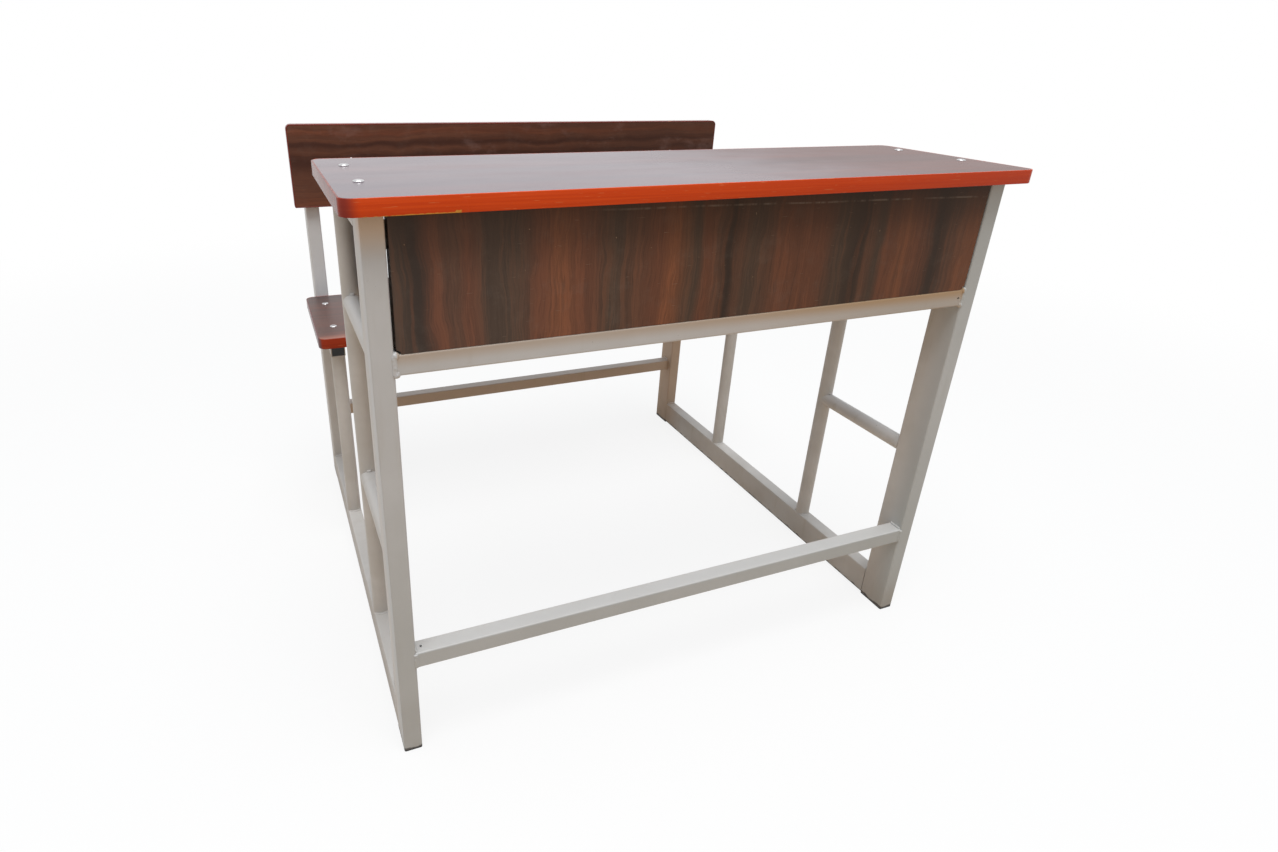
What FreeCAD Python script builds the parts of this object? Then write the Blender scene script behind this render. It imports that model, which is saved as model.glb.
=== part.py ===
import FreeCAD, Part
import os
import re

import Sketcher

# School desk with bench: two welded side frames of steel tube, cross rails between them,
# and laminated boards bolted on. The pupils sit on the +Y side, -Y is the front with the panel,
# +X is to the right seen from the front and +Z is up. The origin lies on the floor, in the middle.
# All lengths are in millimetres.

os.makedirs("parts", exist_ok=True)
doc = FreeCAD.newDocument("SchoolDesk")

SIZES = {
    # whole desk
    "desk_height": 762,
    "frame_width": 874,
    "frame_depth": 831,
    "board_overhang": 20,
    "board_thickness": 18,
    "band_thickness": 2,
    # tubes of the frames
    "leg_depth": 50,
    "leg_width": 25,
    "rail_side": 25,
    "post_width": 25,
    "side_rail_width": 24,
    "shelf_rail_side": 20,
    "tube_wall": 1.5,
    "tube_corner": 2.5,
    # heights and lengths of the rails
    "compartment_height": 152,
    "brace_top": 321,
    "seat_rail_length": 236,
    # low cross rails
    "stretcher_top": 172,
    # desktop
    "desktop_depth": 281,
    "desktop_overhang": 25,
    "board_corner": 14,
    "desktop_bolt_inset": 21,
    "desktop_bolt_spacing": 119,
    # seat
    "seat_height": 426,
    "seat_depth": 258,
    "seat_gap": 0.5,
    "seat_bolt_inset": 43,
    "seat_bolt_spacing": 139,
    # backrest
    "backrest_rise": 331,
    "backrest_height": 150,
    "backrest_corner": 9,
    "backrest_low_corner": 3,
    "backrest_bolt_drop": 66,
    "backrest_bolt_inset": 67,
    "back_leg_drop": 12,
    # front panel
    "panel_side_gap": 3,
    "panel_top_gap": 0.5,
    "panel_setback": 0.5,
    "panel_notch": 5,
    # book shelf
    "shelf_thickness": 12,
    "shelf_side_gap": 3.5,
    "shelf_panel_gap": 1,
    "shelf_screw_inset": 52,
    "shelf_screw_grip": 9,
    # tabs behind the panel
    "tab_thickness": 3,
    "tab_width": 28,
    "tab_height": 30,
    "tab_gap": 12,
    # mushroom head bolts and nuts
    "bolt_size": 6,
    "bolt_head_width": 12,
    "bolt_head_height": 2.4,
    "bolt_head_rim": 0.5,
    "bolt_tail": 2,
    "bolt_clearance": 0.3,
    "nut_across_flats": 10,
    "nut_thickness": 5,
    "nut_clearance": 0.1,
    # wood screws
    "screw_size": 4,
    "screw_head_width": 8,
    "screw_head_height": 2.4,
    "screw_length": 14,
    "screw_point_length": 3,
    "screw_clearance": 0.2,
    # plastic plugs
    "foot_thickness": 3,
    "plug_depth": 14,
    "plug_face": 2.5,
    "plug_wall": 1.6,
    "plug_clearance": 0.15,
    "plug_recess": 0.4,
    "plug_chamfer": 0.8,
    # vent holes and weld beads
    "vent_width": 3.4,
    "vent_inset": 9,
    "weld_leg": 2.5,
    "saddle_weld_length": 6,
}

# Sizes and places worked out from those above. Places along Y are measured from the front
# of the front leg, and origin_y is where the origin lies on that scale.
WORKED_OUT = {
    "origin_y": "(frame_depth - desktop_overhang) / 2",
    # side frames, from left to right
    "leg_x": "(frame_width - leg_width) / 2",
    "left_leg_x": "-leg_x",
    "frame_inside": "frame_width / 2 - leg_width",
    "post_inside": "leg_x - post_width / 2",
    # side frames, from front to back
    "front_leg_y": "leg_depth / 2",
    "desk_post_rear": "desktop_depth - desktop_overhang",
    "desk_post_front": "desk_post_rear - post_width",
    "desk_post_y": "desk_post_rear - post_width / 2",
    "back_leg_front": "frame_depth - leg_depth",
    "back_leg_y": "frame_depth - leg_depth / 2",
    "seat_post_front": "back_leg_front - seat_rail_length",
    "seat_post_y": "seat_post_front + post_width / 2",
    "side_rail_length": "desk_post_y - leg_depth",
    "bearer_length": "desk_post_rear - leg_depth",
    "floor_rail_length": "back_leg_front - leg_depth",
    # heights
    "floor_rail_z": "foot_thickness + leg_depth / 2",
    "floor_rail_top": "foot_thickness + leg_depth",
    "desk_underside": "desk_height - board_thickness",
    "bearer_underside": "desk_underside - rail_side",
    "panel_rail_top": "desk_underside - compartment_height",
    "panel_rail_z": "panel_rail_top - rail_side / 2",
    "brace_z": "brace_top - side_rail_width / 2",
    "seat_underside": "seat_height - board_thickness",
    "seat_rail_underside": "seat_underside - rail_side",
    "backrest_top": "seat_height + backrest_rise",
    "backrest_bolt_z": "backrest_top - backrest_bolt_drop",
    "back_leg_top": "backrest_top - back_leg_drop",
    "front_leg_height": "desk_underside - foot_thickness",
    "back_leg_height": "back_leg_top - foot_thickness",
    "desk_post_height": "bearer_underside - floor_rail_top",
    "seat_post_height": "seat_rail_underside - floor_rail_top",
    # cross rails
    "cross_length": "2 * frame_inside",
    "shelf_rail_length": "2 * post_inside",
    "cross_rail_y": "rail_side / 2",
    "backrest_rail_y": "back_leg_front + rail_side / 2",
    "backrest_rail_top": "backrest_bolt_z + rail_side / 2",
    "vent_far_end": "cross_length - vent_inset",
    # insides and flat sides of the tubes
    "leg_bore_width": "leg_width - 2 * tube_wall",
    "leg_bore_depth": "leg_depth - 2 * tube_wall",
    "rail_bore": "rail_side - 2 * tube_wall",
    "shelf_rail_bore": "shelf_rail_side - 2 * tube_wall",
    "rail_flat": "rail_side - 2 * tube_corner",
    "post_radius": "post_width / 2",
    "post_bore_radius": "post_radius - tube_wall",
    "post_weld_radius": "post_radius + weld_leg",
    "side_rail_radius": "side_rail_width / 2",
    "side_rail_bore_radius": "side_rail_radius - tube_wall",
    "side_rail_weld_radius": "side_rail_radius + weld_leg",
    # boards
    "board_length": "frame_width + 2 * board_overhang",
    "board_core_length": "board_length - 2 * band_thickness",
    "board_core_corner": "board_corner - band_thickness",
    "desktop_core_depth": "desktop_depth - 2 * band_thickness",
    "desktop_y": "desktop_depth / 2 - desktop_overhang",
    "seat_core_depth": "seat_depth - 2 * band_thickness",
    "seat_y": "back_leg_front - seat_gap - seat_depth / 2",
    "backrest_core_height": "backrest_height - 2 * band_thickness",
    "backrest_core_corner": "backrest_corner - band_thickness",
    "backrest_core_low_corner": "backrest_low_corner - band_thickness",
    "backrest_z": "backrest_top - backrest_height / 2",
    # bolts through the boards and the tubes, measured from each one's own origin
    "desktop_bolt_y": "leg_depth + desktop_bolt_inset",
    "desktop_bolt_first": "desktop_bolt_y - desktop_y",
    "desktop_bolt_last": "desktop_bolt_first + desktop_bolt_spacing",
    "bearer_bolt_first": "desktop_bolt_inset",
    "bearer_bolt_last": "desktop_bolt_inset + desktop_bolt_spacing",
    "seat_bolt_y": "seat_post_front + seat_bolt_inset",
    "seat_bolt_first": "seat_bolt_y - seat_y",
    "seat_bolt_last": "seat_bolt_first + seat_bolt_spacing",
    "seat_rail_bolt_first": "seat_bolt_inset",
    "seat_rail_bolt_last": "seat_bolt_inset + seat_bolt_spacing",
    "backrest_bolt_right": "frame_inside - backrest_bolt_inset",
    "backrest_bolt_left": "-backrest_bolt_right",
    "backrest_bolt_up": "backrest_bolt_z - backrest_z",
    "backrest_rail_bolt_first": "backrest_bolt_inset",
    "backrest_rail_bolt_last": "cross_length - backrest_bolt_inset",
    # front panel and its tabs
    "panel_rear": "panel_setback + board_thickness",
    "panel_length": "cross_length - 2 * panel_side_gap",
    "panel_height": "compartment_height - panel_top_gap",
    "panel_z": "panel_rail_top + panel_height / 2",
    "panel_right": "panel_length / 2",
    "panel_left": "-panel_right",
    "panel_foot": "-panel_height / 2",
    "tab_rear": "panel_rear + tab_thickness",
    "tab_x": "frame_inside - tab_width / 2",
    "left_tab_x": "-tab_x",
    "tab_low_z": "panel_rail_top + shelf_thickness + tab_gap + tab_height / 2",
    "tab_high_z": "desk_underside - tab_gap - tab_height / 2",
    "tab_low": "tab_low_z - panel_z",
    "tab_high": "tab_high_z - panel_z",
    # book shelf
    "shelf_front": "panel_rear + shelf_panel_gap",
    "shelf_depth": "desk_post_rear - shelf_front",
    "shelf_y": "(desk_post_rear + shelf_front) / 2",
    "shelf_length": "cross_length - 2 * shelf_side_gap",
    "shelf_screw_right": "frame_inside - shelf_screw_inset",
    "shelf_screw_left": "-shelf_screw_right",
    "shelf_screw_back": "desk_post_y - shelf_y",
    "shelf_rail_screw_first": "post_inside - shelf_screw_right",
    "shelf_rail_screw_last": "post_inside + shelf_screw_right",
    # bolts, nuts and screws
    "bolt_radius": "bolt_size / 2",
    "bolt_head_radius": "bolt_head_width / 2",
    "bolt_length": "board_thickness + rail_side + nut_thickness + bolt_tail",
    "bolt_end": "-bolt_length",
    "bolt_hole": "bolt_radius + bolt_clearance",
    "nut_hole": "bolt_radius + nut_clearance",
    "nut_corner_radius": "nut_across_flats / sqrt(3)",
    "screw_radius": "screw_size / 2",
    "screw_head_radius": "screw_head_width / 2",
    "screw_end": "-screw_length",
    "screw_taper": "screw_point_length - screw_length",
    "screw_hole": "screw_radius + screw_clearance",
    "shelf_screw_end": "-shelf_rail_side - shelf_screw_grip",
    "shelf_screw_taper": "screw_point_length + shelf_screw_end",
    "vent_radius": "vent_width / 2",
    # plastic plugs
    "leg_plug_width": "leg_bore_width - 2 * plug_clearance",
    "leg_plug_depth": "leg_bore_depth - 2 * plug_clearance",
    "leg_plug_inside_width": "leg_plug_width - 2 * plug_wall",
    "leg_plug_inside_depth": "leg_plug_depth - 2 * plug_wall",
    "rail_plug_side": "rail_bore - 2 * plug_clearance",
    "rail_plug_inside": "rail_plug_side - 2 * plug_wall",
}


def make_sheet(name, cells):
    """A spreadsheet with one named cell for each entry."""
    sheet = doc.addObject("Spreadsheet::Sheet", name)
    for row, (alias, content) in enumerate(cells.items(), start=1):
        sheet.set(f"A{row}", alias)
        sheet.set(f"B{row}", content)
        sheet.setAlias(f"B{row}", alias)
    return sheet


def formula(rule):
    """A rule with each of the names above turned into its spreadsheet cell."""
    def cell(match):
        word = match.group(0)
        if word in SIZES:
            return "Sizes." + word
        return "WorkedOut." + word if word in WORKED_OUT else word
    return re.sub(r"[a-z_]+", cell, rule)


sizes = make_sheet("Sizes", {name: str(size) for name, size in SIZES.items()})
worked_out = make_sheet("WorkedOut", {name: "=" + formula(rule) for name, rule in WORKED_OUT.items()})
doc.recompute()


def size_of(name):
    """The present value of one named size, where a sketch needs a first guess."""
    return float((sizes if name in SIZES else worked_out).get(name))


# Ways that a piece can lie. Its own Z axis runs along a tube's length, a board's thickness
# or a bolt's axis.
UPRIGHT = FreeCAD.Rotation()
ALONG_X = FreeCAD.Rotation(FreeCAD.Vector(0, 1, 0), 90)
ALONG_Y = FreeCAD.Rotation(FreeCAD.Vector(1, 0, 0), -90)
FACING_FRONT = FreeCAD.Rotation(FreeCAD.Vector(1, 0, 0), 90)
UPSIDE_DOWN = FreeCAD.Rotation(FreeCAD.Vector(1, 0, 0), 180)

pieces = []


def place(piece, x, y, z, turn=UPRIGHT):
    """Puts a piece at x, y and z, with y measured from the front of the front leg."""
    piece.Placement.Rotation = turn
    piece.setExpression("Placement.Base.x", formula(x))
    piece.setExpression("Placement.Base.y", formula(f"{y} - origin_y"))
    piece.setExpression("Placement.Base.z", formula(z))


def new_body(label):
    body = doc.addObject("PartDesign::Body", label)
    body.Label = label
    body.AllowCompound = True
    pieces.append(body)
    return body


def origin_feature(body, role):
    return next(item for item in body.Origin.OriginFeatures if item.Role == role)


def new_sketch(body, name, plane="XY_Plane"):
    sketch = body.newObject("Sketcher::SketchObject", name)
    sketch.AttachmentSupport = [(origin_feature(body, plane), "")]
    sketch.MapMode = "FlatFace"
    return sketch


def dimension(sketch, rule, guess, kind, *ends):
    """Adds one dimension to a sketch and binds it to a rule."""
    index = sketch.addConstraint(Sketcher.Constraint(kind, *ends, guess))
    sketch.setExpression(f"Constraints[{index}]", formula(rule))


def rounded_rectangle(sketch, width, height, corner, low_corner=None):
    """A rectangle with round corners, centred on the sketch's origin.

    The two lower corners have a radius of their own where low_corner names it.
    """
    right, top = size_of(width) / 2, size_of(height) / 2
    upper, lower = size_of(corner), size_of(low_corner or corner)
    normal = FreeCAD.Vector(0, 0, 1)
    quarter = FreeCAD.Units.Quantity("90 deg").getValueAs("rad").Value
    # The corner bends in turn, anticlockwise from the upper right one.
    bends = []
    for turn, (a, b, radius) in enumerate(((1, 1, upper), (-1, 1, upper), (-1, -1, lower), (1, -1, lower))):
        centre = FreeCAD.Vector(a * (right - radius), b * (top - radius), 0)
        circle = Part.Circle(centre, normal, radius)
        bends.append(Part.ArcOfCircle(circle, turn * quarter, (turn + 1) * quarter))
    edges = []
    for bend, after in zip(bends, bends[1:] + bends[:1]):
        edges += [bend, Part.LineSegment(bend.EndPoint, after.StartPoint)]
    first = sketch.addGeometry(edges, False)[0]
    for step in range(len(edges)):
        following = first + (step + 1) % len(edges)
        sketch.addConstraint(Sketcher.Constraint("Tangent", first + step, 2, following, 1))
    top_line, left_line, bottom_line, right_line = (first + step for step in (1, 3, 5, 7))
    for line in (top_line, bottom_line):
        sketch.addConstraint(Sketcher.Constraint("Horizontal", line))
    for line in (left_line, right_line):
        sketch.addConstraint(Sketcher.Constraint("Vertical", line))
    upper_right, upper_left, lower_left, lower_right = (first + step for step in (0, 2, 4, 6))
    sketch.addConstraint(Sketcher.Constraint("Equal", upper_right, upper_left))
    sketch.addConstraint(Sketcher.Constraint("Equal", lower_left, lower_right))
    dimension(sketch, corner, upper, "Radius", upper_right)
    dimension(sketch, low_corner or corner, lower, "Radius", lower_left)
    dimension(sketch, f"{width} / 2", right, "DistanceX", -1, 1, right_line, 1)
    dimension(sketch, f"{width} / 2", right, "DistanceX", left_line, 1, -1, 1)
    dimension(sketch, f"{height} / 2", top, "DistanceY", -1, 1, top_line, 1)
    dimension(sketch, f"{height} / 2", top, "DistanceY", bottom_line, 1, -1, 1)


def plain_rectangle(sketch, width, height):
    """A rectangle with square corners, centred on the sketch's origin."""
    right, top = size_of(width) / 2, size_of(height) / 2
    corners = [FreeCAD.Vector(a * right, b * top, 0) for a, b in ((1, 1), (-1, 1), (-1, -1), (1, -1))]
    sides = [Part.LineSegment(a, b) for a, b in zip(corners, corners[1:] + corners[:1])]
    first = sketch.addGeometry(sides, False)[0]
    for side in range(4):
        following = first + (side + 1) % 4
        sketch.addConstraint(Sketcher.Constraint("Coincident", first + side, 2, following, 1))
        direction = "Vertical" if side % 2 else "Horizontal"
        sketch.addConstraint(Sketcher.Constraint(direction, first + side))
    dimension(sketch, f"{width} / 2", right, "DistanceX", -1, 1, first, 1)
    dimension(sketch, f"{width} / 2", right, "DistanceX", first + 2, 1, -1, 1)
    dimension(sketch, f"{height} / 2", top, "DistanceY", -1, 1, first, 1)
    dimension(sketch, f"{height} / 2", top, "DistanceY", first + 2, 1, -1, 1)


def circle_at(sketch, radius, x=None, y=None):
    """A circle whose centre lies x and y from the sketch's origin, each a name or nothing."""
    centre = FreeCAD.Vector(size_of(x) if x else 0, size_of(y) if y else 0, 0)
    ring = Part.Circle(centre, FreeCAD.Vector(0, 0, 1), size_of(radius))
    hole = sketch.addGeometry(ring, False)
    dimension(sketch, radius, size_of(radius), "Radius", hole)
    for kind, name, guess, axis in (("DistanceX", x, centre.x, -2), ("DistanceY", y, centre.y, -1)):
        if name is None:
            sketch.addConstraint(Sketcher.Constraint("PointOnObject", hole, 3, axis))
        else:
            dimension(sketch, name, guess, kind, -1, 1, hole, 3)


def hexagon(sketch, corner_radius):
    """A regular hexagon about the sketch's origin, with two corners on the sketch's X axis."""
    radius = size_of(corner_radius)
    step = FreeCAD.Rotation(FreeCAD.Vector(0, 0, 1), 60)
    corners = [FreeCAD.Vector(radius, 0, 0)]
    for _ in range(5):
        corners.append(step.multVec(corners[-1]))
    sides = [Part.LineSegment(a, b) for a, b in zip(corners, corners[1:] + corners[:1])]
    first = sketch.addGeometry(sides, False)[0]
    ring = sketch.addGeometry(Part.Circle(FreeCAD.Vector(), FreeCAD.Vector(0, 0, 1), radius), True)
    sketch.addConstraint(Sketcher.Constraint("Coincident", ring, 3, -1, 1))
    dimension(sketch, corner_radius, radius, "Radius", ring)
    for side in range(6):
        following = first + (side + 1) % 6
        sketch.addConstraint(Sketcher.Constraint("Coincident", first + side, 2, following, 1))
        sketch.addConstraint(Sketcher.Constraint("PointOnObject", first + side, 1, ring))
        if side:
            sketch.addConstraint(Sketcher.Constraint("Equal", first, first + side))
    sketch.addConstraint(Sketcher.Constraint("PointOnObject", first, 1, -1))


def pad(body, sketch, length, reverse=False):
    feature = body.newObject("PartDesign::Pad", "Pad")
    feature.Profile = sketch
    feature.Reversed = reverse
    feature.setExpression("Length", formula(length))
    body.Tip = feature
    return feature


def pocket(body, sketch, depth=None, both_ways=False, reverse=False):
    """Cuts a sketch out of the body: to a depth, or right through where none is given."""
    feature = body.newObject("PartDesign::Pocket", "Pocket")
    feature.Profile = sketch
    feature.Reversed = reverse
    if depth:
        feature.setExpression("Length", formula(depth))
    else:
        feature.Type = "ThroughAll"
    if both_ways:
        feature.SideType = "Symmetric"
    body.Tip = feature
    return feature


def repeat(body, features, *spacings):
    """Repeats features once more along the body's own X and Y axes, at the spacing of each."""
    pattern = body.newObject("PartDesign::MultiTransform", "Pattern")
    pattern.Originals = features
    rows = []
    for axis, spacing in zip(("X_Axis", "Y_Axis"), spacings):
        row = body.newObject("PartDesign::LinearPattern", "Row")
        row.Direction = (origin_feature(body, axis), [""])
        row.setExpression("Length", formula(spacing))
        row.Occurrences = 2
        rows.append(row)
    pattern.Transformations = rows
    body.Tip = pattern


SIDES = (("left", "left_leg_x"), ("right", "leg_x"))

SECTIONS = {
    "leg": ("leg_width", "leg_depth", "leg_bore_width", "leg_bore_depth"),
    "rail": ("rail_side", "rail_side", "rail_bore", "rail_bore"),
    "shelf_rail": ("shelf_rail_side", "shelf_rail_side", "shelf_rail_bore", "shelf_rail_bore"),
}


def tube(label, section, length, x, y, z, turn=UPRIGHT):
    """A straight piece of welded steel tube with rounded corners, open at both ends."""
    width, depth, bore_width, bore_depth = SECTIONS[section]
    body = new_body(label)
    profile = new_sketch(body, "Section")
    rounded_rectangle(profile, width, depth, "tube_corner")
    plain_rectangle(profile, bore_width, bore_depth)
    pad(body, profile, length)
    place(body, x, y, z, turn)
    return body


def round_tube(label, section, length, x, y, z, turn=UPRIGHT):
    """A straight piece of round steel tube, open at both ends."""
    body = new_body(label)
    profile = new_sketch(body, "Section")
    circle_at(profile, f"{section}_radius")
    circle_at(profile, f"{section}_bore_radius")
    pad(body, profile, length)
    place(body, x, y, z, turn)
    return body


def drill_through(body, radius, plane, *places):
    """Cuts right through a tube at places measured along it from its first end."""
    holes = new_sketch(body, "Holes", plane)
    for along in places:
        circle_at(holes, radius, None, along)
    pocket(body, holes, both_ways=True)


def side_frame(side, x):
    """One welded side frame: two legs on a floor rail, two round posts and the rails they carry.

    The round side rails have a hollow cut in their rear ends, to fit against the middle post.
    """
    tube(f"{side}_front_leg", "leg", "front_leg_height", x, "front_leg_y", "foot_thickness")
    tube(f"{side}_back_leg", "leg", "back_leg_height", x, "back_leg_y", "foot_thickness")
    tube(f"{side}_floor_rail", "leg", "floor_rail_length", x, "leg_depth", "floor_rail_z", ALONG_Y)
    for name, post in (("middle_post", "desk_post"), ("seat_post", "seat_post")):
        height, y = f"{post}_height", f"{post}_y"
        round_tube(f"{side}_{name}", "post", height, x, y, "floor_rail_top")
    for name, z in (("lower_side_rail", "brace_z"), ("upper_side_rail", "panel_rail_z")):
        label = f"{side}_{name}"
        rail = round_tube(label, "side_rail", "side_rail_length", x, "leg_depth", z, ALONG_Y)
        drill_through(rail, "post_radius", "XZ_Plane", "side_rail_length")
    z = "desk_underside - rail_side / 2"
    bearer = tube(f"{side}_desktop_bearer", "rail", "bearer_length", x, "leg_depth", z, ALONG_Y)
    drill_through(bearer, "bolt_hole", "XZ_Plane", "bearer_bolt_first", "bearer_bolt_last")
    z = "seat_underside - rail_side / 2"
    rail = tube(f"{side}_seat_rail", "rail", "seat_rail_length", x, "seat_post_front", z, ALONG_Y)
    drill_through(rail, "bolt_hole", "XZ_Plane", "seat_rail_bolt_first", "seat_rail_bolt_last")


def cross_rails():
    """The five tubes that tie the two side frames together."""
    x = "-frame_inside"
    z = "stretcher_top - rail_side / 2"
    stretcher = tube("front_stretcher", "rail", "cross_length", x, "cross_rail_y", z, ALONG_X)
    vent = new_sketch(stretcher, "Vent", "YZ_Plane")
    circle_at(vent, "vent_radius", None, "vent_inset")
    pocket(stretcher, vent)
    tube("rear_stretcher", "rail", "cross_length", x, "back_leg_y", z, ALONG_X)

    z = "panel_rail_z"
    front_rail = tube("front_rail", "rail", "cross_length", x, "cross_rail_y", z, ALONG_X)
    vent = new_sketch(front_rail, "Vent", "XZ_Plane")
    circle_at(vent, "vent_radius", None, "vent_far_end")
    pocket(front_rail, vent, reverse=True)

    z = "backrest_bolt_z"
    backrest_rail = tube("backrest_rail", "rail", "cross_length", x, "backrest_rail_y", z, ALONG_X)
    places = ("backrest_rail_bolt_first", "backrest_rail_bolt_last")
    drill_through(backrest_rail, "bolt_hole", "XZ_Plane", *places)

    x, z = "-post_inside", "panel_rail_top - shelf_rail_side / 2"
    length = "shelf_rail_length"
    shelf_rail = tube("shelf_rail", "shelf_rail", length, x, "desk_post_y", z, ALONG_X)
    places = ("shelf_rail_screw_first", "shelf_rail_screw_last")
    drill_through(shelf_rail, "screw_hole", "YZ_Plane", *places)


def board(label, core, holes, x, y, z, turn=UPRIGHT):
    """A laminated board inside its edge band, drilled for its bolts."""
    body = new_body(label)
    outline = new_sketch(body, "Outline")
    rounded_rectangle(outline, *core)
    for hole_x, hole_y in holes:
        circle_at(outline, "bolt_hole", hole_x, hole_y)
    pad(body, outline, "board_thickness")
    place(body, x, y, z, turn)


def edge_band(label, outer, core, x, y, z, turn=UPRIGHT):
    """The band glued round a board: a thin ring between the outer outline and the core's."""
    body = new_body(label)
    outline = new_sketch(body, "Outline")
    rounded_rectangle(outline, *outer)
    rounded_rectangle(outline, *core)
    pad(body, outline, "board_thickness")
    place(body, x, y, z, turn)


def boards():
    """Desktop, seat and backrest, each with its edge band."""
    core = ("board_core_length", "desktop_core_depth", "board_core_corner")
    outer = ("board_length", "desktop_depth", "board_corner")
    spot = ("0", "desktop_y", "desk_underside")
    rows = ("desktop_bolt_first", "desktop_bolt_last")
    holes = [(x, y) for x in ("left_leg_x", "leg_x") for y in rows]
    board("desktop", core, holes, *spot)
    edge_band("desktop_edge_band", outer, core, *spot)

    core = ("board_core_length", "seat_core_depth", "board_core_corner")
    outer = ("board_length", "seat_depth", "board_corner")
    spot = ("0", "seat_y", "seat_underside")
    rows = ("seat_bolt_first", "seat_bolt_last")
    holes = [(x, y) for x in ("left_leg_x", "leg_x") for y in rows]
    board("seat_board", core, holes, *spot)
    edge_band("seat_edge_band", outer, core, *spot)

    core = ("board_core_length", "backrest_core_height", "backrest_core_corner", "backrest_core_low_corner")
    outer = ("board_length", "backrest_height", "backrest_corner", "backrest_low_corner")
    spot = ("0", "back_leg_front", "backrest_z", FACING_FRONT)
    holes = [(x, "backrest_bolt_up") for x in ("backrest_bolt_left", "backrest_bolt_right")]
    board("backrest_board", core, holes, *spot)
    edge_band("backrest_edge_band", outer, core, *spot)


def modesty_panel():
    """The upright board under the desktop's front edge, standing on the front rail."""
    body = new_body("modesty_panel")
    outline = new_sketch(body, "Outline")
    plain_rectangle(outline, "panel_length", "panel_height")
    pad(body, outline, "board_thickness")
    # The lower corners are cut out round the weld beads on the front rail.
    notches = new_sketch(body, "Notches")
    for x in ("panel_left", "panel_right"):
        circle_at(notches, "panel_notch", x, "panel_foot")
    pocket(body, notches, reverse=True)
    pilot_holes = new_sketch(body, "PilotHoles")
    for x in ("left_tab_x", "tab_x"):
        for y in ("tab_low", "tab_high"):
            circle_at(pilot_holes, "screw_hole", x, y)
    pocket(body, pilot_holes, "screw_length - tab_thickness + screw_clearance", reverse=True)
    place(body, "0", "panel_rear", "panel_z", FACING_FRONT)


def panel_tabs():
    """Four small plates welded to the front legs, to which the panel is screwed."""
    body = new_body("panel_tabs")
    outline = new_sketch(body, "Outline")
    plain_rectangle(outline, "tab_width", "tab_height")
    circle_at(outline, "screw_hole")
    plate = pad(body, outline, "tab_thickness")
    repeat(body, [plate], "2 * tab_x", "tab_high_z - tab_low_z")
    place(body, "left_tab_x", "tab_rear", "tab_low_z", FACING_FRONT)


def book_shelf():
    """The board under the desktop that carries books, on the front rail and the shelf rail."""
    body = new_body("book_shelf")
    outline = new_sketch(body, "Outline")
    plain_rectangle(outline, "shelf_length", "shelf_depth")
    pad(body, outline, "shelf_thickness")
    pilot_holes = new_sketch(body, "PilotHoles")
    for x in ("shelf_screw_left", "shelf_screw_right"):
        circle_at(pilot_holes, "screw_hole", x, "shelf_screw_back")
    pocket(body, pilot_holes, "shelf_screw_grip + screw_clearance", reverse=True)
    place(body, "0", "shelf_y", "panel_rail_top")


def outline_of(sketch, corners, edges):
    """Joins edges end to end and ties the start of each to its corner, a pair of names."""
    first = sketch.addGeometry(edges, False)[0]
    for step, (x, y) in enumerate(corners):
        following = first + (step + 1) % len(edges)
        sketch.addConstraint(Sketcher.Constraint("Coincident", first + step, 2, following, 1))
        for kind, name, axis in (("DistanceX", x, -2), ("DistanceY", y, -1)):
            if name is None:
                sketch.addConstraint(Sketcher.Constraint("PointOnObject", first + step, 1, axis))
            else:
                dimension(sketch, name, size_of(name), kind, -1, 1, first + step, 1)
    return first


def half_section(sketch, corners, domed=False):
    """Half the section of a turned fastener, with its axis on the sketch's Y axis.

    The last edge runs from the rim to the crown. It is straight, or an arc about a point
    on the axis where the head is domed.
    """
    spots = [FreeCAD.Vector(size_of(x) if x else 0, size_of(y) if y else 0, 0) for x, y in corners]
    edges = [Part.LineSegment(a, b) for a, b in zip(spots, spots[1:] + spots[:1])]
    if not domed:
        outline_of(sketch, corners, edges)
        return
    crown, rim = spots[0], spots[-1]
    drop = crown.y - rim.y
    radius = (rim.x * rim.x + drop * drop) / (2 * drop)
    centre = FreeCAD.Vector(0, crown.y - radius, 0)
    level = FreeCAD.Vector(1, 0, 0)
    circle = Part.Circle(centre, FreeCAD.Vector(0, 0, 1), radius)
    edges[-1] = Part.ArcOfCircle(circle, (rim - centre).getAngle(level), (crown - centre).getAngle(level))
    first = outline_of(sketch, corners, edges)
    sketch.addConstraint(Sketcher.Constraint("PointOnObject", first + len(edges) - 1, 3, -2))


# The corners of each half section, from the crown of the head down the axis and back up.
BOLT = (
    (None, "bolt_head_height"),
    (None, "bolt_end"),
    ("bolt_radius", "bolt_end"),
    ("bolt_radius", None),
    ("bolt_head_radius", None),
    ("bolt_head_radius", "bolt_head_rim"),
)
PANEL_SCREW = (
    (None, "screw_head_height"),
    (None, "screw_end"),
    ("screw_radius", "screw_taper"),
    ("screw_radius", None),
    ("screw_head_radius", None),
    ("screw_head_radius", "screw_head_height"),
)
SHELF_SCREW = (
    (None, "screw_head_height"),
    (None, "shelf_screw_end"),
    ("screw_radius", "shelf_screw_taper"),
    ("screw_radius", None),
    ("screw_head_radius", None),
    ("screw_head_radius", "screw_head_height"),
)


def fasteners(label, corners, x, y, z, turn, *spacings):
    """A group of equal bolts or screws: one is turned from its section, the rest repeat it."""
    body = new_body(label)
    section = new_sketch(body, "HalfSection", "XZ_Plane")
    half_section(section, corners, domed=corners is BOLT)
    turned = body.newObject("PartDesign::Revolution", "Turned")
    turned.Profile = section
    turned.ReferenceAxis = (section, ["V_Axis"])
    body.Tip = turned
    repeat(body, [turned], *spacings)
    place(body, x, y, z, turn)


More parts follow.
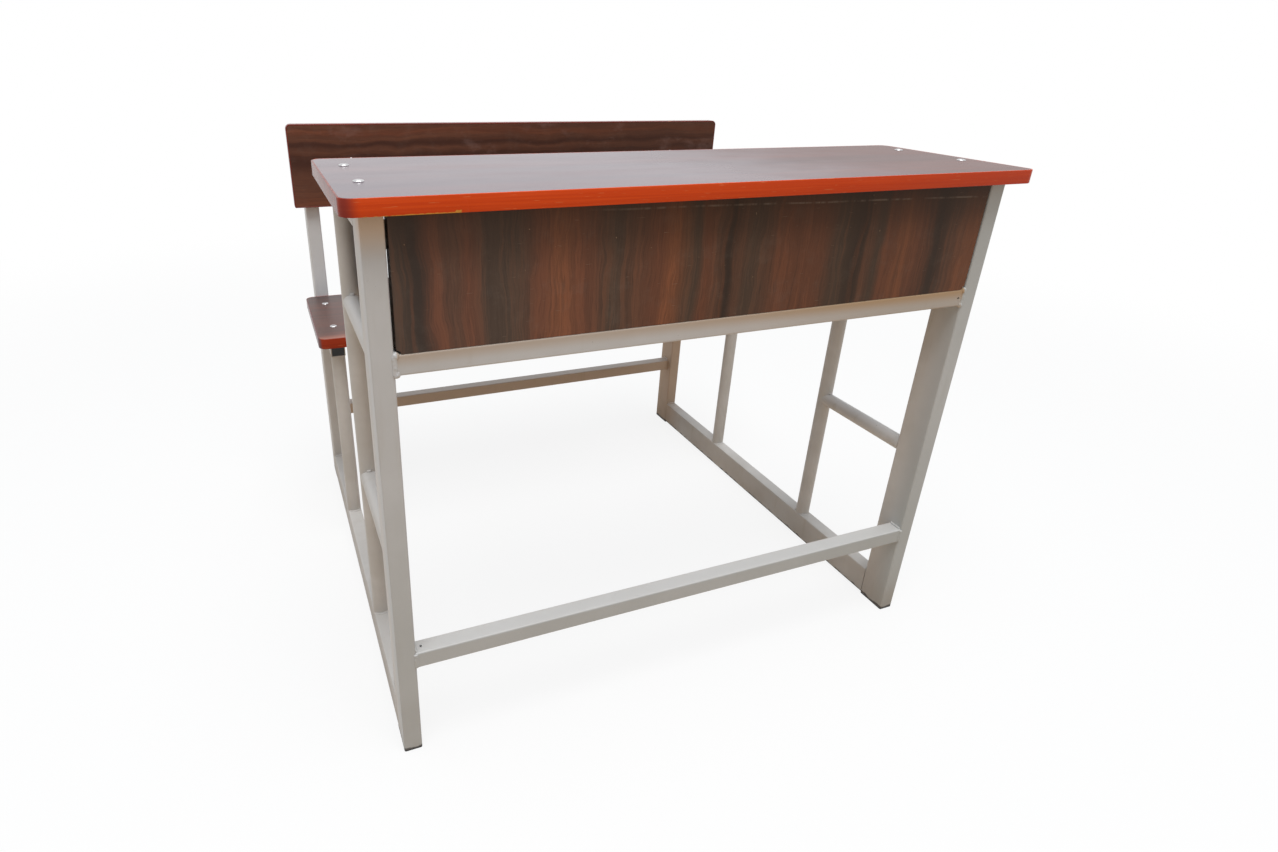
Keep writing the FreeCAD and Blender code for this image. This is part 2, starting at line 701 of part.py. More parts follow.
def nuts(label, x, y, z, turn, *spacings):
    body = new_body(label)
    outline = new_sketch(body, "Outline")
    hexagon(outline, "nut_corner_radius")
    circle_at(outline, "nut_hole")
    nut = pad(body, outline, "nut_thickness", reverse=True)
    repeat(body, [nut], *spacings)
    place(body, x, y, z, turn)


def bolted_joints():
    """Mushroom head bolts through each board and its tube, with nuts behind."""
    x, y = "left_leg_x", "desktop_bolt_y"
    spacings = ("2 * leg_x", "desktop_bolt_spacing")
    fasteners("desktop_bolts", BOLT, x, y, "desk_height", UPRIGHT, *spacings)
    nuts("desktop_nuts", x, y, "bearer_underside", UPRIGHT, *spacings)

    y = "seat_bolt_y"
    spacings = ("2 * leg_x", "seat_bolt_spacing")
    fasteners("seat_bolts", BOLT, x, y, "seat_height", UPRIGHT, *spacings)
    nuts("seat_nuts", x, y, "seat_rail_underside", UPRIGHT, *spacings)

    x, z = "backrest_bolt_left", "backrest_bolt_z"
    spacing = "2 * backrest_bolt_right"
    front, rear = "back_leg_front - board_thickness", "back_leg_front + rail_side"
    fasteners("backrest_bolts", BOLT, x, front, z, FACING_FRONT, spacing)
    nuts("backrest_nuts", x, rear, z, FACING_FRONT, spacing)


def wood_screws():
    """The screws that hold the panel to its tabs and the shelf to its rail."""
    spacings = ("2 * tab_x", "tab_high_z - tab_low_z")
    fasteners("panel_screws", PANEL_SCREW, "left_tab_x", "tab_rear", "tab_high_z", ALONG_Y, *spacings)
    z = "panel_rail_top - shelf_rail_side"
    spacing = "2 * shelf_screw_right"
    fasteners("shelf_screws", SHELF_SCREW, "shelf_screw_left", "desk_post_y", z, UPSIDE_DOWN, spacing)


def spigot(body, outer, inner):
    """The hollow part of a plug, a close fit in the tube's bore."""
    outline = new_sketch(body, "Spigot")
    plain_rectangle(outline, *outer)
    plain_rectangle(outline, *inner)
    return pad(body, outline, "plug_depth")


def soften_outer_edge(body, flange):
    """Chamfers the outer edges of a flange, those at its lowest level."""
    doc.recompute()
    lowest = flange.Shape.BoundBox.ZMin
    names = []
    for number, edge in enumerate(flange.Shape.Edges, start=1):
        if edge.BoundBox.ZMax - lowest < edge.Tolerance:
            names.append(f"Edge{number}")
    chamfer = body.newObject("PartDesign::Chamfer", "SoftEdge")
    chamfer.Base = (flange, names)
    chamfer.setExpression("Size", formula("plug_chamfer"))
    body.Tip = chamfer


def leg_plug(label, x, y, z, turn=UPRIGHT):
    """A plastic plug with a flange that closes the end of a leg."""
    body = new_body(label)
    outline = new_sketch(body, "Flange")
    rounded_rectangle(outline, "leg_width", "leg_depth", "tube_corner")
    flange = pad(body, outline, "foot_thickness", reverse=True)
    soften_outer_edge(body, flange)
    outer = ("leg_plug_width", "leg_plug_depth")
    inner = ("leg_plug_inside_width", "leg_plug_inside_depth")
    spigot(body, outer, inner)
    place(body, x, y, z, turn)


def rail_plugs(label, y, z, turn):
    """A pair of flush plugs in the open ends of the left and right rails."""
    body = new_body(label)
    outline = new_sketch(body, "Face")
    outer = ("rail_plug_side", "rail_plug_side")
    inner = ("rail_plug_inside", "rail_plug_inside")
    plain_rectangle(outline, *outer)
    face = pad(body, outline, "plug_face")
    walls = spigot(body, outer, inner)
    repeat(body, [face, walls], "2 * leg_x")
    place(body, "left_leg_x", y, z, turn)


def plugs():
    """Feet under the legs, caps on the back legs and plugs in the open rail ends."""
    for side, x in SIDES:
        leg_plug(f"{side}_front_foot", x, "front_leg_y", "foot_thickness")
        leg_plug(f"{side}_back_foot", x, "back_leg_y", "foot_thickness")
        leg_plug(f"{side}_back_leg_cap", x, "back_leg_y", "back_leg_top", UPSIDE_DOWN)
    z = "seat_underside - rail_side / 2"
    rail_plugs("seat_rail_plugs", "seat_post_front + plug_recess", z, ALONG_Y)
    z = "desk_underside - rail_side / 2"
    rail_plugs("bearer_plugs", "desk_post_rear - plug_recess", z, FACING_FRONT)


UP, DOWN = FreeCAD.Vector(0, 0, 1), FreeCAD.Vector(0, 0, -1)
REARWARD, FORWARD = FreeCAD.Vector(0, 1, 0), FreeCAD.Vector(0, -1, 0)
RIGHTWARD, LEFTWARD = FreeCAD.Vector(1, 0, 0), FreeCAD.Vector(-1, 0, 0)


def bead(x, y, z, up, out, flat):
    """One fillet weld: a quarter round centred on x, y and z, in the corner of two faces."""
    run = up.cross(out)
    weld = doc.addObject("Part::Cylinder", "Bead")
    weld.Angle = 90
    weld.setExpression("Radius", formula("weld_leg"))
    weld.setExpression("Height", formula(flat))
    half = f"{flat} / 2"
    turn = FreeCAD.Rotation(up, out, run, "ZXY")
    place(weld, f"{x} - {run.x} * {half}", f"{y} - {run.y} * {half}", z, turn)
    return weld


def arc_bead(x, y, z, along, out, section):
    """A fillet weld a quarter of the way round a round tube, where its end meets a flat side.

    The tube's axis meets the flat side at x, y and z and leaves it along one direction. The
    middle of the bead lies out from the axis in the other.
    """
    weld = doc.addObject("PartDesign::Body", "ArcBead")
    profile = new_sketch(weld, "Section", "XZ_Plane")
    radius, edge = f"{section}_radius", f"{section}_weld_radius"
    half_section(profile, ((radius, None), (edge, None), (radius, "weld_leg")))
    turned = weld.newObject("PartDesign::Revolution", "Turned")
    turned.Profile = profile
    turned.ReferenceAxis = (profile, ["V_Axis"])
    turned.Angle = 90
    turned.Midplane = True
    weld.Tip = turned
    place(weld, x, y, z, FreeCAD.Rotation(out, along.cross(out), along, "ZXY"))
    return weld


def weld_group(label, beads):
    group = doc.addObject("Part::Compound", label)
    group.Label = label
    group.Links = beads
    pieces.append(group)


def frame_welds(side, x):
    """The beads of one side frame, all of them across the tubes."""
    arcs = [
        ("desk_post_y", "floor_rail_top", UP, FORWARD, "post"),
        ("desk_post_y", "floor_rail_top", UP, REARWARD, "post"),
        ("seat_post_y", "floor_rail_top", UP, FORWARD, "post"),
        ("seat_post_y", "floor_rail_top", UP, REARWARD, "post"),
        ("desk_post_y", "bearer_underside", DOWN, FORWARD, "post"),
        ("seat_post_y", "seat_rail_underside", DOWN, REARWARD, "post"),
    ]
    beads = []
    for z in ("brace_z", "panel_rail_z"):
        arcs.append(("leg_depth", z, REARWARD, UP, "side_rail"))
        arcs.append(("leg_depth", z, REARWARD, DOWN, "side_rail"))
        for sign, up in (("+", UP), ("-", DOWN)):
            crown = f"{z} {sign} side_rail_radius"
            beads.append(bead(x, "desk_post_front", crown, up, FORWARD, "saddle_weld_length"))
    rails = [
        ("leg_depth", "floor_rail_top", UP, REARWARD),
        ("back_leg_front", "floor_rail_top", UP, FORWARD),
        ("leg_depth", "bearer_underside", DOWN, REARWARD),
        ("back_leg_front", "seat_rail_underside", DOWN, FORWARD),
    ]
    beads += [arc_bead(x, *joint) for joint in arcs]
    beads += [bead(x, *joint, "rail_flat") for joint in rails]
    weld_group(f"{side}_frame_welds", beads)


def cross_rail_welds():
    """The beads above and below both ends of each cross rail."""
    rails = [
        ("frame_inside", "cross_rail_y", "stretcher_top", "rail_side", "rail_flat"),
        ("frame_inside", "cross_rail_y", "panel_rail_top", "rail_side", "rail_flat"),
        ("frame_inside", "back_leg_y", "stretcher_top", "rail_side", "rail_flat"),
        ("frame_inside", "backrest_rail_y", "backrest_rail_top", "rail_side", "rail_flat"),
        ("post_inside", "desk_post_y", "panel_rail_top", "shelf_rail_side", "saddle_weld_length"),
    ]
    beads = []
    for inside, y, top, side, length in rails:
        underside = f"{top} - {side}"
        for x, out in ((f"-{inside}", RIGHTWARD), (inside, LEFTWARD)):
            beads.append(bead(x, y, top, UP, out, length))
            beads.append(bead(x, y, underside, DOWN, out, length))
    weld_group("cross_rail_welds", beads)


for side, x in SIDES:
    side_frame(side, x)
    frame_welds(side, x)
cross_rails()
cross_rail_welds()
boards()
modesty_panel()
panel_tabs()
book_shelf()
bolted_joints()
wood_screws()
plugs()
doc.recompute()

faults = [item.Name for item in doc.Objects if {"Invalid", "Error"} & set(item.State)]
faults += [piece.Label for piece in pieces if piece.Shape.isNull() or not piece.Shape.isValid()]
if faults:
    raise RuntimeError("these did not build: " + ", ".join(faults))
for piece in pieces:
    piece.Shape.exportStep(f"parts/{piece.Label}.step")
print(len(pieces), "pieces written")
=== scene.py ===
import math

import bmesh
import bpy
from mathutils import Matrix, Vector


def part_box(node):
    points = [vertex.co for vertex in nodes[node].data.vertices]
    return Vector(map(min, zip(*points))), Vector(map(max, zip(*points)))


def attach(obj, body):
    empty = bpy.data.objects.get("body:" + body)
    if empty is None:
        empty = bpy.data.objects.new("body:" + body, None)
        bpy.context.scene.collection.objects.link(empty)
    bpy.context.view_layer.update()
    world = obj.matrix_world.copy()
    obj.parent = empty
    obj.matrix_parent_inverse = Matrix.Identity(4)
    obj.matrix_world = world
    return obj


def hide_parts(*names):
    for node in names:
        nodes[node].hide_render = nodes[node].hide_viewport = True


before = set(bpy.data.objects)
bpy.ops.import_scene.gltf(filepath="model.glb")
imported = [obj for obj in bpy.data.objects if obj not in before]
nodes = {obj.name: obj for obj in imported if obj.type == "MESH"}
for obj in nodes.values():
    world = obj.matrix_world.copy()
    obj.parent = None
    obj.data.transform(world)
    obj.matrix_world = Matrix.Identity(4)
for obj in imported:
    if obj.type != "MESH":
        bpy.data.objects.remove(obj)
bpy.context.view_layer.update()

MM = 0.001


def seen(red, green, blue):
    """A colour as the eye sees it, from 0 to 255, turned into the light values of a shader."""
    def light(value):
        # This is the usual curve of a screen.
        share = value / 255
        return share / 12.92 if share <= 0.04045 else ((share + 0.055) / 1.055) ** 2.4
    return (light(red), light(green), light(blue), 1.0)


# The sockets of a colour mixer. Several share a name, so they are taken by number.
MIX_SHARE, MIX_FIRST, MIX_SECOND, MIX_RESULT = 0, 6, 7, 2


class Link:
    """A value on its way through a material. Sums with it add the maths nodes they need."""

    def __init__(self, paint, socket):
        self.paint = paint
        self.socket = socket

    def maths(self, operation, *values):
        return self.paint.node("ShaderNodeMath", {"operation": operation}, *values)

    def __add__(self, other):
        return self.maths("ADD", self, other)

    def __radd__(self, other):
        return self.maths("ADD", other, self)

    def __sub__(self, other):
        return self.maths("SUBTRACT", self, other)

    def __rsub__(self, other):
        return self.maths("SUBTRACT", other, self)

    def __mul__(self, other):
        return self.maths("MULTIPLY", self, other)

    def __truediv__(self, other):
        return self.maths("DIVIDE", self, other)

    def above(self, level, softness):
        """1 where the value is over a level and 0 where it is under, with a soft step."""
        return self.paint.node(
            "ShaderNodeMapRange",
            {"interpolation_type": "SMOOTHSTEP"},
            self, level - softness, level + softness, 0.0, 1.0,
        )


class Paint:
    """One material: a Principled shader with the nodes that feed it."""

    def __init__(self, name, **constants):
        self.material = bpy.data.materials.new(name)
        self.material.use_nodes = True
        self.tree = self.material.node_tree
        self.shader = self.tree.nodes["Principled BSDF"]
        for socket, value in constants.items():
            self.shader.inputs[socket.replace("_", " ")].default_value = value
        self.place = self.node("ShaderNodeTexCoord", {}, output="Object")
        self.x, self.y, self.z = self.axes(self.place)

    def node(self, kind, settings, *values, output=0, **named):
        """Adds a node, sets it up, then fills its sockets in order and by name."""
        node = self.tree.nodes.new(kind)
        for key, value in settings.items():
            if key == "stops":
                self.set_stops(node.color_ramp, value)
            else:
                setattr(node, key, value)
        for index, value in enumerate(values):
            self.feed(node.inputs[index], value)
        for key, value in named.items():
            self.feed(node.inputs[key.replace("_", " ")], value)
        return node if output is None else Link(self, node.outputs[output])

    def set_stops(self, ramp, stops):
        """Sets the stops of a colour ramp, each a position with its colour."""
        while len(ramp.elements) < len(stops):
            ramp.elements.new(1.0)
        for element, (position, colour) in zip(ramp.elements, stops):
            element.position = position
            element.color = colour

    def feed(self, socket, value):
        """Fills a socket with a value from the material or with a plain one."""
        if isinstance(value, Link):
            self.tree.links.new(value.socket, socket)
        elif value is not None:
            socket.default_value = value

    def axes(self, vector):
        """The three numbers that make up a place or a direction."""
        parts = self.node("ShaderNodeSeparateXYZ", {}, vector, output=None)
        return [Link(self, parts.outputs[name]) for name in "XYZ"]

    def noise(self, place, scale, detail=2.0, roughness=0.5):
        """Soft cloudy noise from about 0 to 1, with lumps of about one over scale metres."""
        return self.node(
            "ShaderNodeTexNoise", {}, output="Fac",
            Vector=place, Scale=scale, Detail=detail, Roughness=roughness, Distortion=0.0,
        )

    def streaks(self, x, y, z=0.0, detail=2.0, roughness=0.5):
        """Noise over a place that has its own scale on each axis."""
        place = self.node("ShaderNodeCombineXYZ", {}, x, y, z)
        return self.noise(place, 1.0, detail, roughness)

    def ramp(self, value, stops, interpolation="LINEAR"):
        ramp = self.node("ShaderNodeValToRGB", {"stops": stops}, value, output=None)
        ramp.color_ramp.interpolation = interpolation
        return Link(self, ramp.outputs["Color"])

    def mix(self, share, first, second):
        """Two colours mixed: all first at share 0, all second at share 1."""
        settings = {"data_type": "RGBA", "blend_type": "MIX", "clamp_factor": True}
        mixer = self.node("ShaderNodeMix", settings, output=None)
        self.feed(mixer.inputs[MIX_SHARE], share)
        self.feed(mixer.inputs[MIX_FIRST], first)
        self.feed(mixer.inputs[MIX_SECOND], second)
        return Link(self, mixer.outputs[MIX_RESULT])

    def bump(self, height, distance, strength, below=None):
        """Relief from a height. distance is how deep it is in metres."""
        return self.node(
            "ShaderNodeBump", {}, output="Normal",
            Strength=strength, Distance=distance, Height=height, Normal=below,
        )

    def finish(self, colour, roughness, normal, metallic=None):
        """Feeds the shader and gives back the finished material."""
        self.feed(self.shader.inputs["Base Color"], colour)
        self.feed(self.shader.inputs["Roughness"], roughness)
        self.feed(self.shader.inputs["Metallic"], metallic)
        self.feed(self.shader.inputs["Normal"], normal)
        return self.material


# Finishes
#
# Places are in metres, with x to the right, y to the back and z up. A number that multiplies an
# axis inside streaks() sets how fine the noise is along it, and a lone number in place of an
# axis picks a slice of the noise, so that no two marks look alike. above() takes the level that
# a value is cut at and how soft the cut is. Levels and shares of colour were judged.

# The front faces of the frame lie ahead of the first depth, and the back legs behind the second.
FRONT_DEPTH, REAR_DEPTH = -0.38, 0.34
SEAT_HEIGHT = 0.40
INNER_HALF_WIDTH = 0.4093
# Heights just under the rail below the panel, just under its top, and just over it.
UNDER_RAIL, RAIL_SHOULDER, OVER_RAIL = 0.555, 0.582, 0.600


def painted_light_and_shade(paint, body, front):
    """Painted light and shade over the grey frame.

    In front it has a painted cool light, and painted shade low down and to the right, deepest
    high up on the right under the desktop. Behind it is pale over the seat, and has a painted
    warm shade under it where it is turned to the front or the left. It has a painted highlight
    facing up.
    """
    low_front_shade = 1 - paint.z.above(0.35, 0.2)
    right_front_shade = paint.x.above(0.2, 0.2) * (0.15 + paint.z.above(0.5, 0.2) * 0.3)
    # Painted cool light on the front faces, then painted shade low down and to the right.
    body = paint.mix(front * 0.5, body, seen(192, 196, 201))
    body = paint.mix(front * (low_front_shade * 0.35 + right_front_shade), body, seen(150, 156, 152))
    facing = paint.node("ShaderNodeTexCoord", {}, output="Normal")
    rightward, backward, upward = paint.axes(facing)
    behind = paint.y.above(REAR_DEPTH, 0.05)
    high = paint.z.above(SEAT_HEIGHT, 0.06)
    turned = (1 - backward.above(0.3, 0.2)) * (1 - rightward.above(0.3, 0.2))
    past_left_frame = paint.x.above(-0.40, 0.005)
    warm_bounce_shade = behind * (1 - high) * past_left_frame * turned
    # Painted warm shade under the seat, and a paler grey over it.
    body = paint.mix(warm_bounce_shade * 0.75, body, seen(192, 162, 132))
    body = paint.mix(behind * high * 0.45, body, seen(214, 218, 224))
    # A painted highlight on faces turned up.
    return paint.mix(upward.above(0.6, 0.3) * 0.5, body, seen(234, 230, 225))


def front_tan_and_rail_shade(paint, body, front):
    """Warm tan high up in front by the desktop's front edge, least at the right end, and painted
    shade.

    The painted shade is on the rail under the panel, tinted by a painted reflection of the
    panel's
    brown: on its top, and over more of it to the right.
    """
    high = paint.z.above(0.712, 0.022) * (1 - paint.x.above(0.1, 0.3))
    body = paint.mix(front * high * 0.6, body, seen(212, 177, 136))
    # Painted shade on the rail under the panel, with the panel's brown painted in as its
    # reflection.
    between_legs = 1 - (paint.x * paint.x).above(INNER_HALF_WIDTH ** 2, 0.0004)
    rail = paint.z.above(UNDER_RAIL, 0.004) * (1 - paint.z.above(OVER_RAIL, 0.004))
    right = paint.x.above(0.05, 0.25)
    rail_shade = paint.z.above(RAIL_SHOULDER, 0.008) * (0.48 + right * 0.10) + right * 0.30 + 0.08
    return paint.mix(front * rail * between_legs * rail_shade, body, seen(172, 142, 108))


def frame_paint():
    """Warm light grey paint, sprayed over tube: a little orange peel, grime low down, scuffs."""
    paint = Paint("warm_grey_paint", Specular_IOR_Level=0.3)
    clouds = paint.noise(paint.place, 9.0, detail=4.0, roughness=0.6)
    specks = paint.noise(paint.place, 260.0, detail=3.0, roughness=0.7)
    drips = paint.streaks(paint.x * 60, paint.y * 60, paint.z * 9, detail=3.0)
    body = paint.mix(clouds.above(0.52, 0.22), seen(190, 186, 180), seen(204, 201, 197))
    body = paint.mix(drips.above(0.66, 0.10) * 0.35, body, seen(176, 166, 150))
    front = 1 - paint.y.above(FRONT_DEPTH, 0.02)
    # Painted light and shade over the frame, then a warm tan and painted shade on the rail.
    body = painted_light_and_shade(paint, body, front)
    body = front_tan_and_rail_shade(paint, body, front)
    low = 1 - paint.z.above(0.06, 0.06)
    grime = low * clouds.above(0.45, 0.2) * 0.45
    body = paint.mix(grime, body, seen(134, 120, 102))
    # Right over the feet the paint is scuffed to a dark ragged edge.
    ragged = paint.z + (drips - 0.5) * (12 * MM)
    body = paint.mix((1 - ragged.above(6.5 * MM, 1 * MM)) * 0.85, body, seen(52, 44, 38))
    chips = specks.above(0.735, 0.02) * clouds.above(0.5, 0.1)
    body = paint.mix(chips * 0.7, body, seen(104, 92, 78))
    peel = paint.noise(paint.place, 420.0)
    waves = paint.noise(paint.place, 55.0)
    normal = paint.bump(peel, 0.06 * MM, 0.6)
    normal = paint.bump(waves, 0.4 * MM, 0.35, below=normal)
    roughness = 0.36 + clouds * 0.12 + grime * 0.3
    return paint.finish(body, roughness, normal)


WALNUT_DARK = seen(58, 46, 38)
WALNUT_MOSS = seen(86, 69, 57)
WALNUT_BROWN = seen(104, 73, 57)
WALNUT_RED = seen(120, 76, 56)
WALNUT_AMBER = seen(140, 88, 61)
WALNUT_TONES = [
    (0.28, WALNUT_DARK), (0.40, WALNUT_MOSS), (0.50, WALNUT_BROWN), (0.62, WALNUT_RED),
    (0.78, WALNUT_AMBER),
]

# Broad stripes of the front panel, by share of the way from its left end to its right end.
PANEL_BANDS = [
    (0.000, WALNUT_MOSS), (0.035, WALNUT_DARK), (0.060, WALNUT_RED), (0.080, WALNUT_BROWN),
    (0.100, WALNUT_RED), (0.130, WALNUT_MOSS), (0.165, WALNUT_MOSS), (0.200, WALNUT_RED),
    (0.225, WALNUT_AMBER), (0.260, WALNUT_RED), (0.305, WALNUT_MOSS), (0.335, WALNUT_BROWN),
    (0.375, WALNUT_RED), (0.400, WALNUT_AMBER), (0.440, WALNUT_MOSS), (0.460, WALNUT_RED),
    (0.480, WALNUT_BROWN), (0.500, WALNUT_DARK), (0.520, WALNUT_BROWN), (0.540, WALNUT_MOSS),
    (0.600, WALNUT_RED), (0.660, WALNUT_RED), (0.700, WALNUT_MOSS), (0.740, WALNUT_DARK),
    (0.760, WALNUT_BROWN), (0.780, WALNUT_MOSS), (0.800, WALNUT_RED), (0.840, WALNUT_AMBER),
    (0.865, WALNUT_RED), (0.915, WALNUT_DARK), (0.945, WALNUT_BROWN), (0.980, WALNUT_AMBER),
]

# Stripes of the backrest, by share of the way from its lower edge to its top.
BACKREST_BANDS = [
    (0.00, WALNUT_RED), (0.20, WALNUT_BROWN), (0.36, WALNUT_BROWN), (0.55, WALNUT_DARK),
    (0.64, WALNUT_DARK), (0.72, WALNUT_BROWN), (0.78, WALNUT_DARK), (0.86, WALNUT_BROWN),
    (0.92, WALNUT_RED), (1.00, WALNUT_BROWN),
]


def walnut_print(paint, along, across, bands=None, seed=0.0):
    """The colour, fine grain and pores of walnut laminate with its grain along one axis.

    bands are where the broad dark and light stripes begin and end, and the stripes by share of
    that distance, from low to high. Without them the stripes come from noise.
    """
    run, cross = getattr(paint, along), getattr(paint, across)
    spread = paint.streaks(cross * 6 + seed, run * 2.2)
    wave = paint.streaks(cross * 22 + seed, run * 13, 3.0, detail=3.0)
    bent = cross + (spread - 0.5) * 0.024 + (wave - 0.5) * 0.019
    streak = paint.streaks(bent * 110 + seed, run * 4, 7.0, detail=4.0, roughness=0.65)
    fine = paint.streaks(bent * 520 + seed, run * 9, 11.0, detail=3.0, roughness=0.65)
    pores = paint.streaks(bent * 1500 + seed, run * 36, 17.0, detail=1.0)
    if bands:
        low, high, stops = bands
        broad = paint.ramp((bent - low) / (high - low), stops, "EASE")
        tone = (streak - 0.5) * 1.7 + 0.5
        colour = paint.mix((0.53 - tone) * 1.3, broad, WALNUT_DARK)
        colour = paint.mix(tone - 0.55, colour, WALNUT_AMBER)
    else:
        broad = paint.streaks(bent * 19 + seed, run * 0.7, 23.0)
        colour = paint.ramp(broad * 0.75 + streak * 0.45 - 0.1, WALNUT_TONES)
    vein = 1 - ((streak - 0.5) * (streak - 0.5)).above(0.0005, 0.0004)
    colour = paint.mix(vein * 0.22, colour, WALNUT_DARK)
    colour = paint.mix((0.50 - fine) * 1.2, colour, WALNUT_DARK)
    colour = paint.mix(pores.above(0.64, 0.05) * 0.3, colour, WALNUT_DARK)
    return colour, fine, pores


def walnut_relief(paint, fine, pores):
    """The fine grain and the pores, just deep enough to catch the light."""
    normal = paint.bump(fine, 0.06 * MM, 0.3)
    return paint.bump(pores, 0.04 * MM, 0.3, below=normal)


def walnut(name, along, across, bands=None, rough=0.30, seed=0.0, marks=None, sheen=0.16):
    """Walnut laminate with a thin film of dust.

    sheen is how strongly the laminate mirrors, and marks adds a board's own scratches and wear,
    and painted light and shade.
    """
    paint = Paint(name, Specular_IOR_Level=sheen)
    colour, fine, pores = walnut_print(paint, along, across, bands, seed)
    dust = paint.noise(paint.place, 30.0, detail=5.0, roughness=0.7)
    colour = paint.mix(dust.above(0.62, 0.14) * 0.08, colour, seen(150, 140, 130))
    if marks:
        colour = marks(paint, colour)
    roughness = rough + dust * 0.10 + (fine - 0.5) * 0.08
    return paint.finish(colour, roughness, walnut_relief(paint, fine, pores))


def panel_marks(paint, colour):
    """Painted shade under the desktop and to the right, and a painted pale reflection at the left
    end.

    A pale broken line runs along under the panel's top, and there are a few small knocks.
    """
    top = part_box("modesty_panel")[1][2]
    # Painted shadow of the desktop along the top, and painted shade towards the right.
    painted_shade = paint.z.above(top - 35 * MM, 50 * MM) * 0.6 + paint.x.above(0.05, 0.35) * 0.36
    colour = paint.mix(painted_shade, colour, seen(54, 36, 20))
    # A painted pale reflection over the left end.
    dull = (1 - paint.x.above(-0.2, 0.22)) * 0.13
    colour = paint.mix(dull, colour, seen(104, 98, 98))
    # The pale line is about 2 mm wide. The square of the height over it is small on it only.
    wander = paint.streaks(paint.x * 5, 0.0, 2.0)
    height = paint.z + paint.x * 0.018 + (wander - 0.5) * (6 * MM) - (top - 12 * MM)
    line = 1 - (height * height).above(1.2 * MM ** 2, 1.0 * MM ** 2)
    gaps = paint.streaks(paint.x * 26, 5.0, detail=4.0, roughness=0.7)
    pale_line = line * gaps.above(0.50, 0.08) * paint.x.above(-0.16, 0.05)
    colour = paint.mix(pale_line * 0.3, colour, seen(150, 136, 122))
    spots = paint.streaks(paint.x * 260, paint.z * 130, 9.0)
    colour = paint.mix(spots.above(0.775, 0.02) * 0.5, colour, seen(190, 160, 130))
    scrapes = paint.streaks(paint.x * 60, paint.z * 800, 4.0)
    return paint.mix(scrapes.above(0.74, 0.02) * 0.25, colour, seen(170, 150, 132))


def backrest_marks(paint, colour):
    """A redder cast than the other boards, painted shade to the right, with dull hand marks."""
    colour = paint.mix(0.35, colour, seen(92, 46, 38))
    # Painted shade towards the right.
    colour = paint.mix(paint.x.above(0.0, 0.35) * 0.4, colour, seen(50, 30, 20))
    hands = paint.streaks(paint.x * 13, paint.z * 22, 1.0, detail=4.0, roughness=0.65)
    return paint.mix(hands.above(0.64, 0.08) * 0.16, colour, seen(150, 122, 116))


def seat_marks(paint, colour):
    """The seat's top is dulled, and its front edge is rubbed to a pale salmon."""
    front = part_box("seat_board")[0][1]
    rub = paint.streaks(paint.x * 14, paint.y * 40, detail=3.0)
    worn = 1 - (paint.y - (rub - 0.5) * (20 * MM)).above(front + 14 * MM, 12 * MM)
    colour = paint.mix(0.3, colour, seen(98, 84, 92))
    return paint.mix(worn * 0.5, colour, seen(196, 128, 108))


def desktop_laminate():
    """The desktop's walnut under a lilac film, partly fine wear and partly painted sheen, which
    thins out to the right.
    """
    tint = (0.97, 0.94, 1.0, 1.0)
    paint = Paint("desktop_walnut", Specular_IOR_Level=0.5, Specular_Tint=tint)
    colour, fine, pores = walnut_print(paint, "x", "y", seed=4.0)
    clouds = paint.noise(paint.place, 5.0, detail=4.0, roughness=0.6)
    smears = paint.streaks(paint.x * 7, paint.y * 26, detail=4.0, roughness=0.6)
    right = (paint.x + (clouds - 0.5) * 0.3).above(0.12, 0.22)
    # A lilac film: partly fine wear, partly painted sheen of the grazing reflection.
    haze_and_sheen = 0.74 - right * 0.14 - smears.above(0.6, 0.12) * 0.03
    haze_and_sheen_colour = paint.mix(right * 0.8, seen(96, 82, 96), seen(116, 96, 94))
    colour = paint.mix(haze_and_sheen, colour, haze_and_sheen_colour)
    scratches = paint.streaks(paint.x * 30, paint.y * 900, 6.0)
    colour = paint.mix(scratches.above(0.74, 0.02) * 0.3, colour, seen(170, 160, 160))
    roughness = 0.22 + right * 0.26 + smears.above(0.56, 0.25) * 0.03 + (fine - 0.5) * 0.03
    return paint.finish(colour, roughness, walnut_relief(paint, fine, pores))


def edge_tape(name, bright, deep, marks=None):
    """Glossy edge banding with long streaks and a few scuffs. marks adds a band's own wear."""
    paint = Paint(name, Specular_IOR_Level=0.12, Specular_Tint=(1.0, 0.86, 0.84, 1.0))
    run = paint.x + paint.y * 0.7
    streak = paint.streaks(run * 5, 0.0, paint.z * 420, detail=3.0, roughness=0.6)
    patches = paint.noise(paint.place, 7.0, detail=3.0)
    colour = paint.mix(streak.above(0.52, 0.25), deep, bright)
    colour = paint.mix(patches.above(0.6, 0.15) * 0.3, colour, deep)
    flecks = paint.streaks(run * 40, 3.0, paint.z * 900)
    colour = paint.mix(flecks.above(0.69, 0.03) * 0.5, colour, seen(226, 150, 96))
    if marks:
        colour = marks(paint, colour)
    normal = paint.bump(streak, 0.05 * MM, 0.2)
    return paint.finish(colour, 0.20 + patches * 0.12, normal)


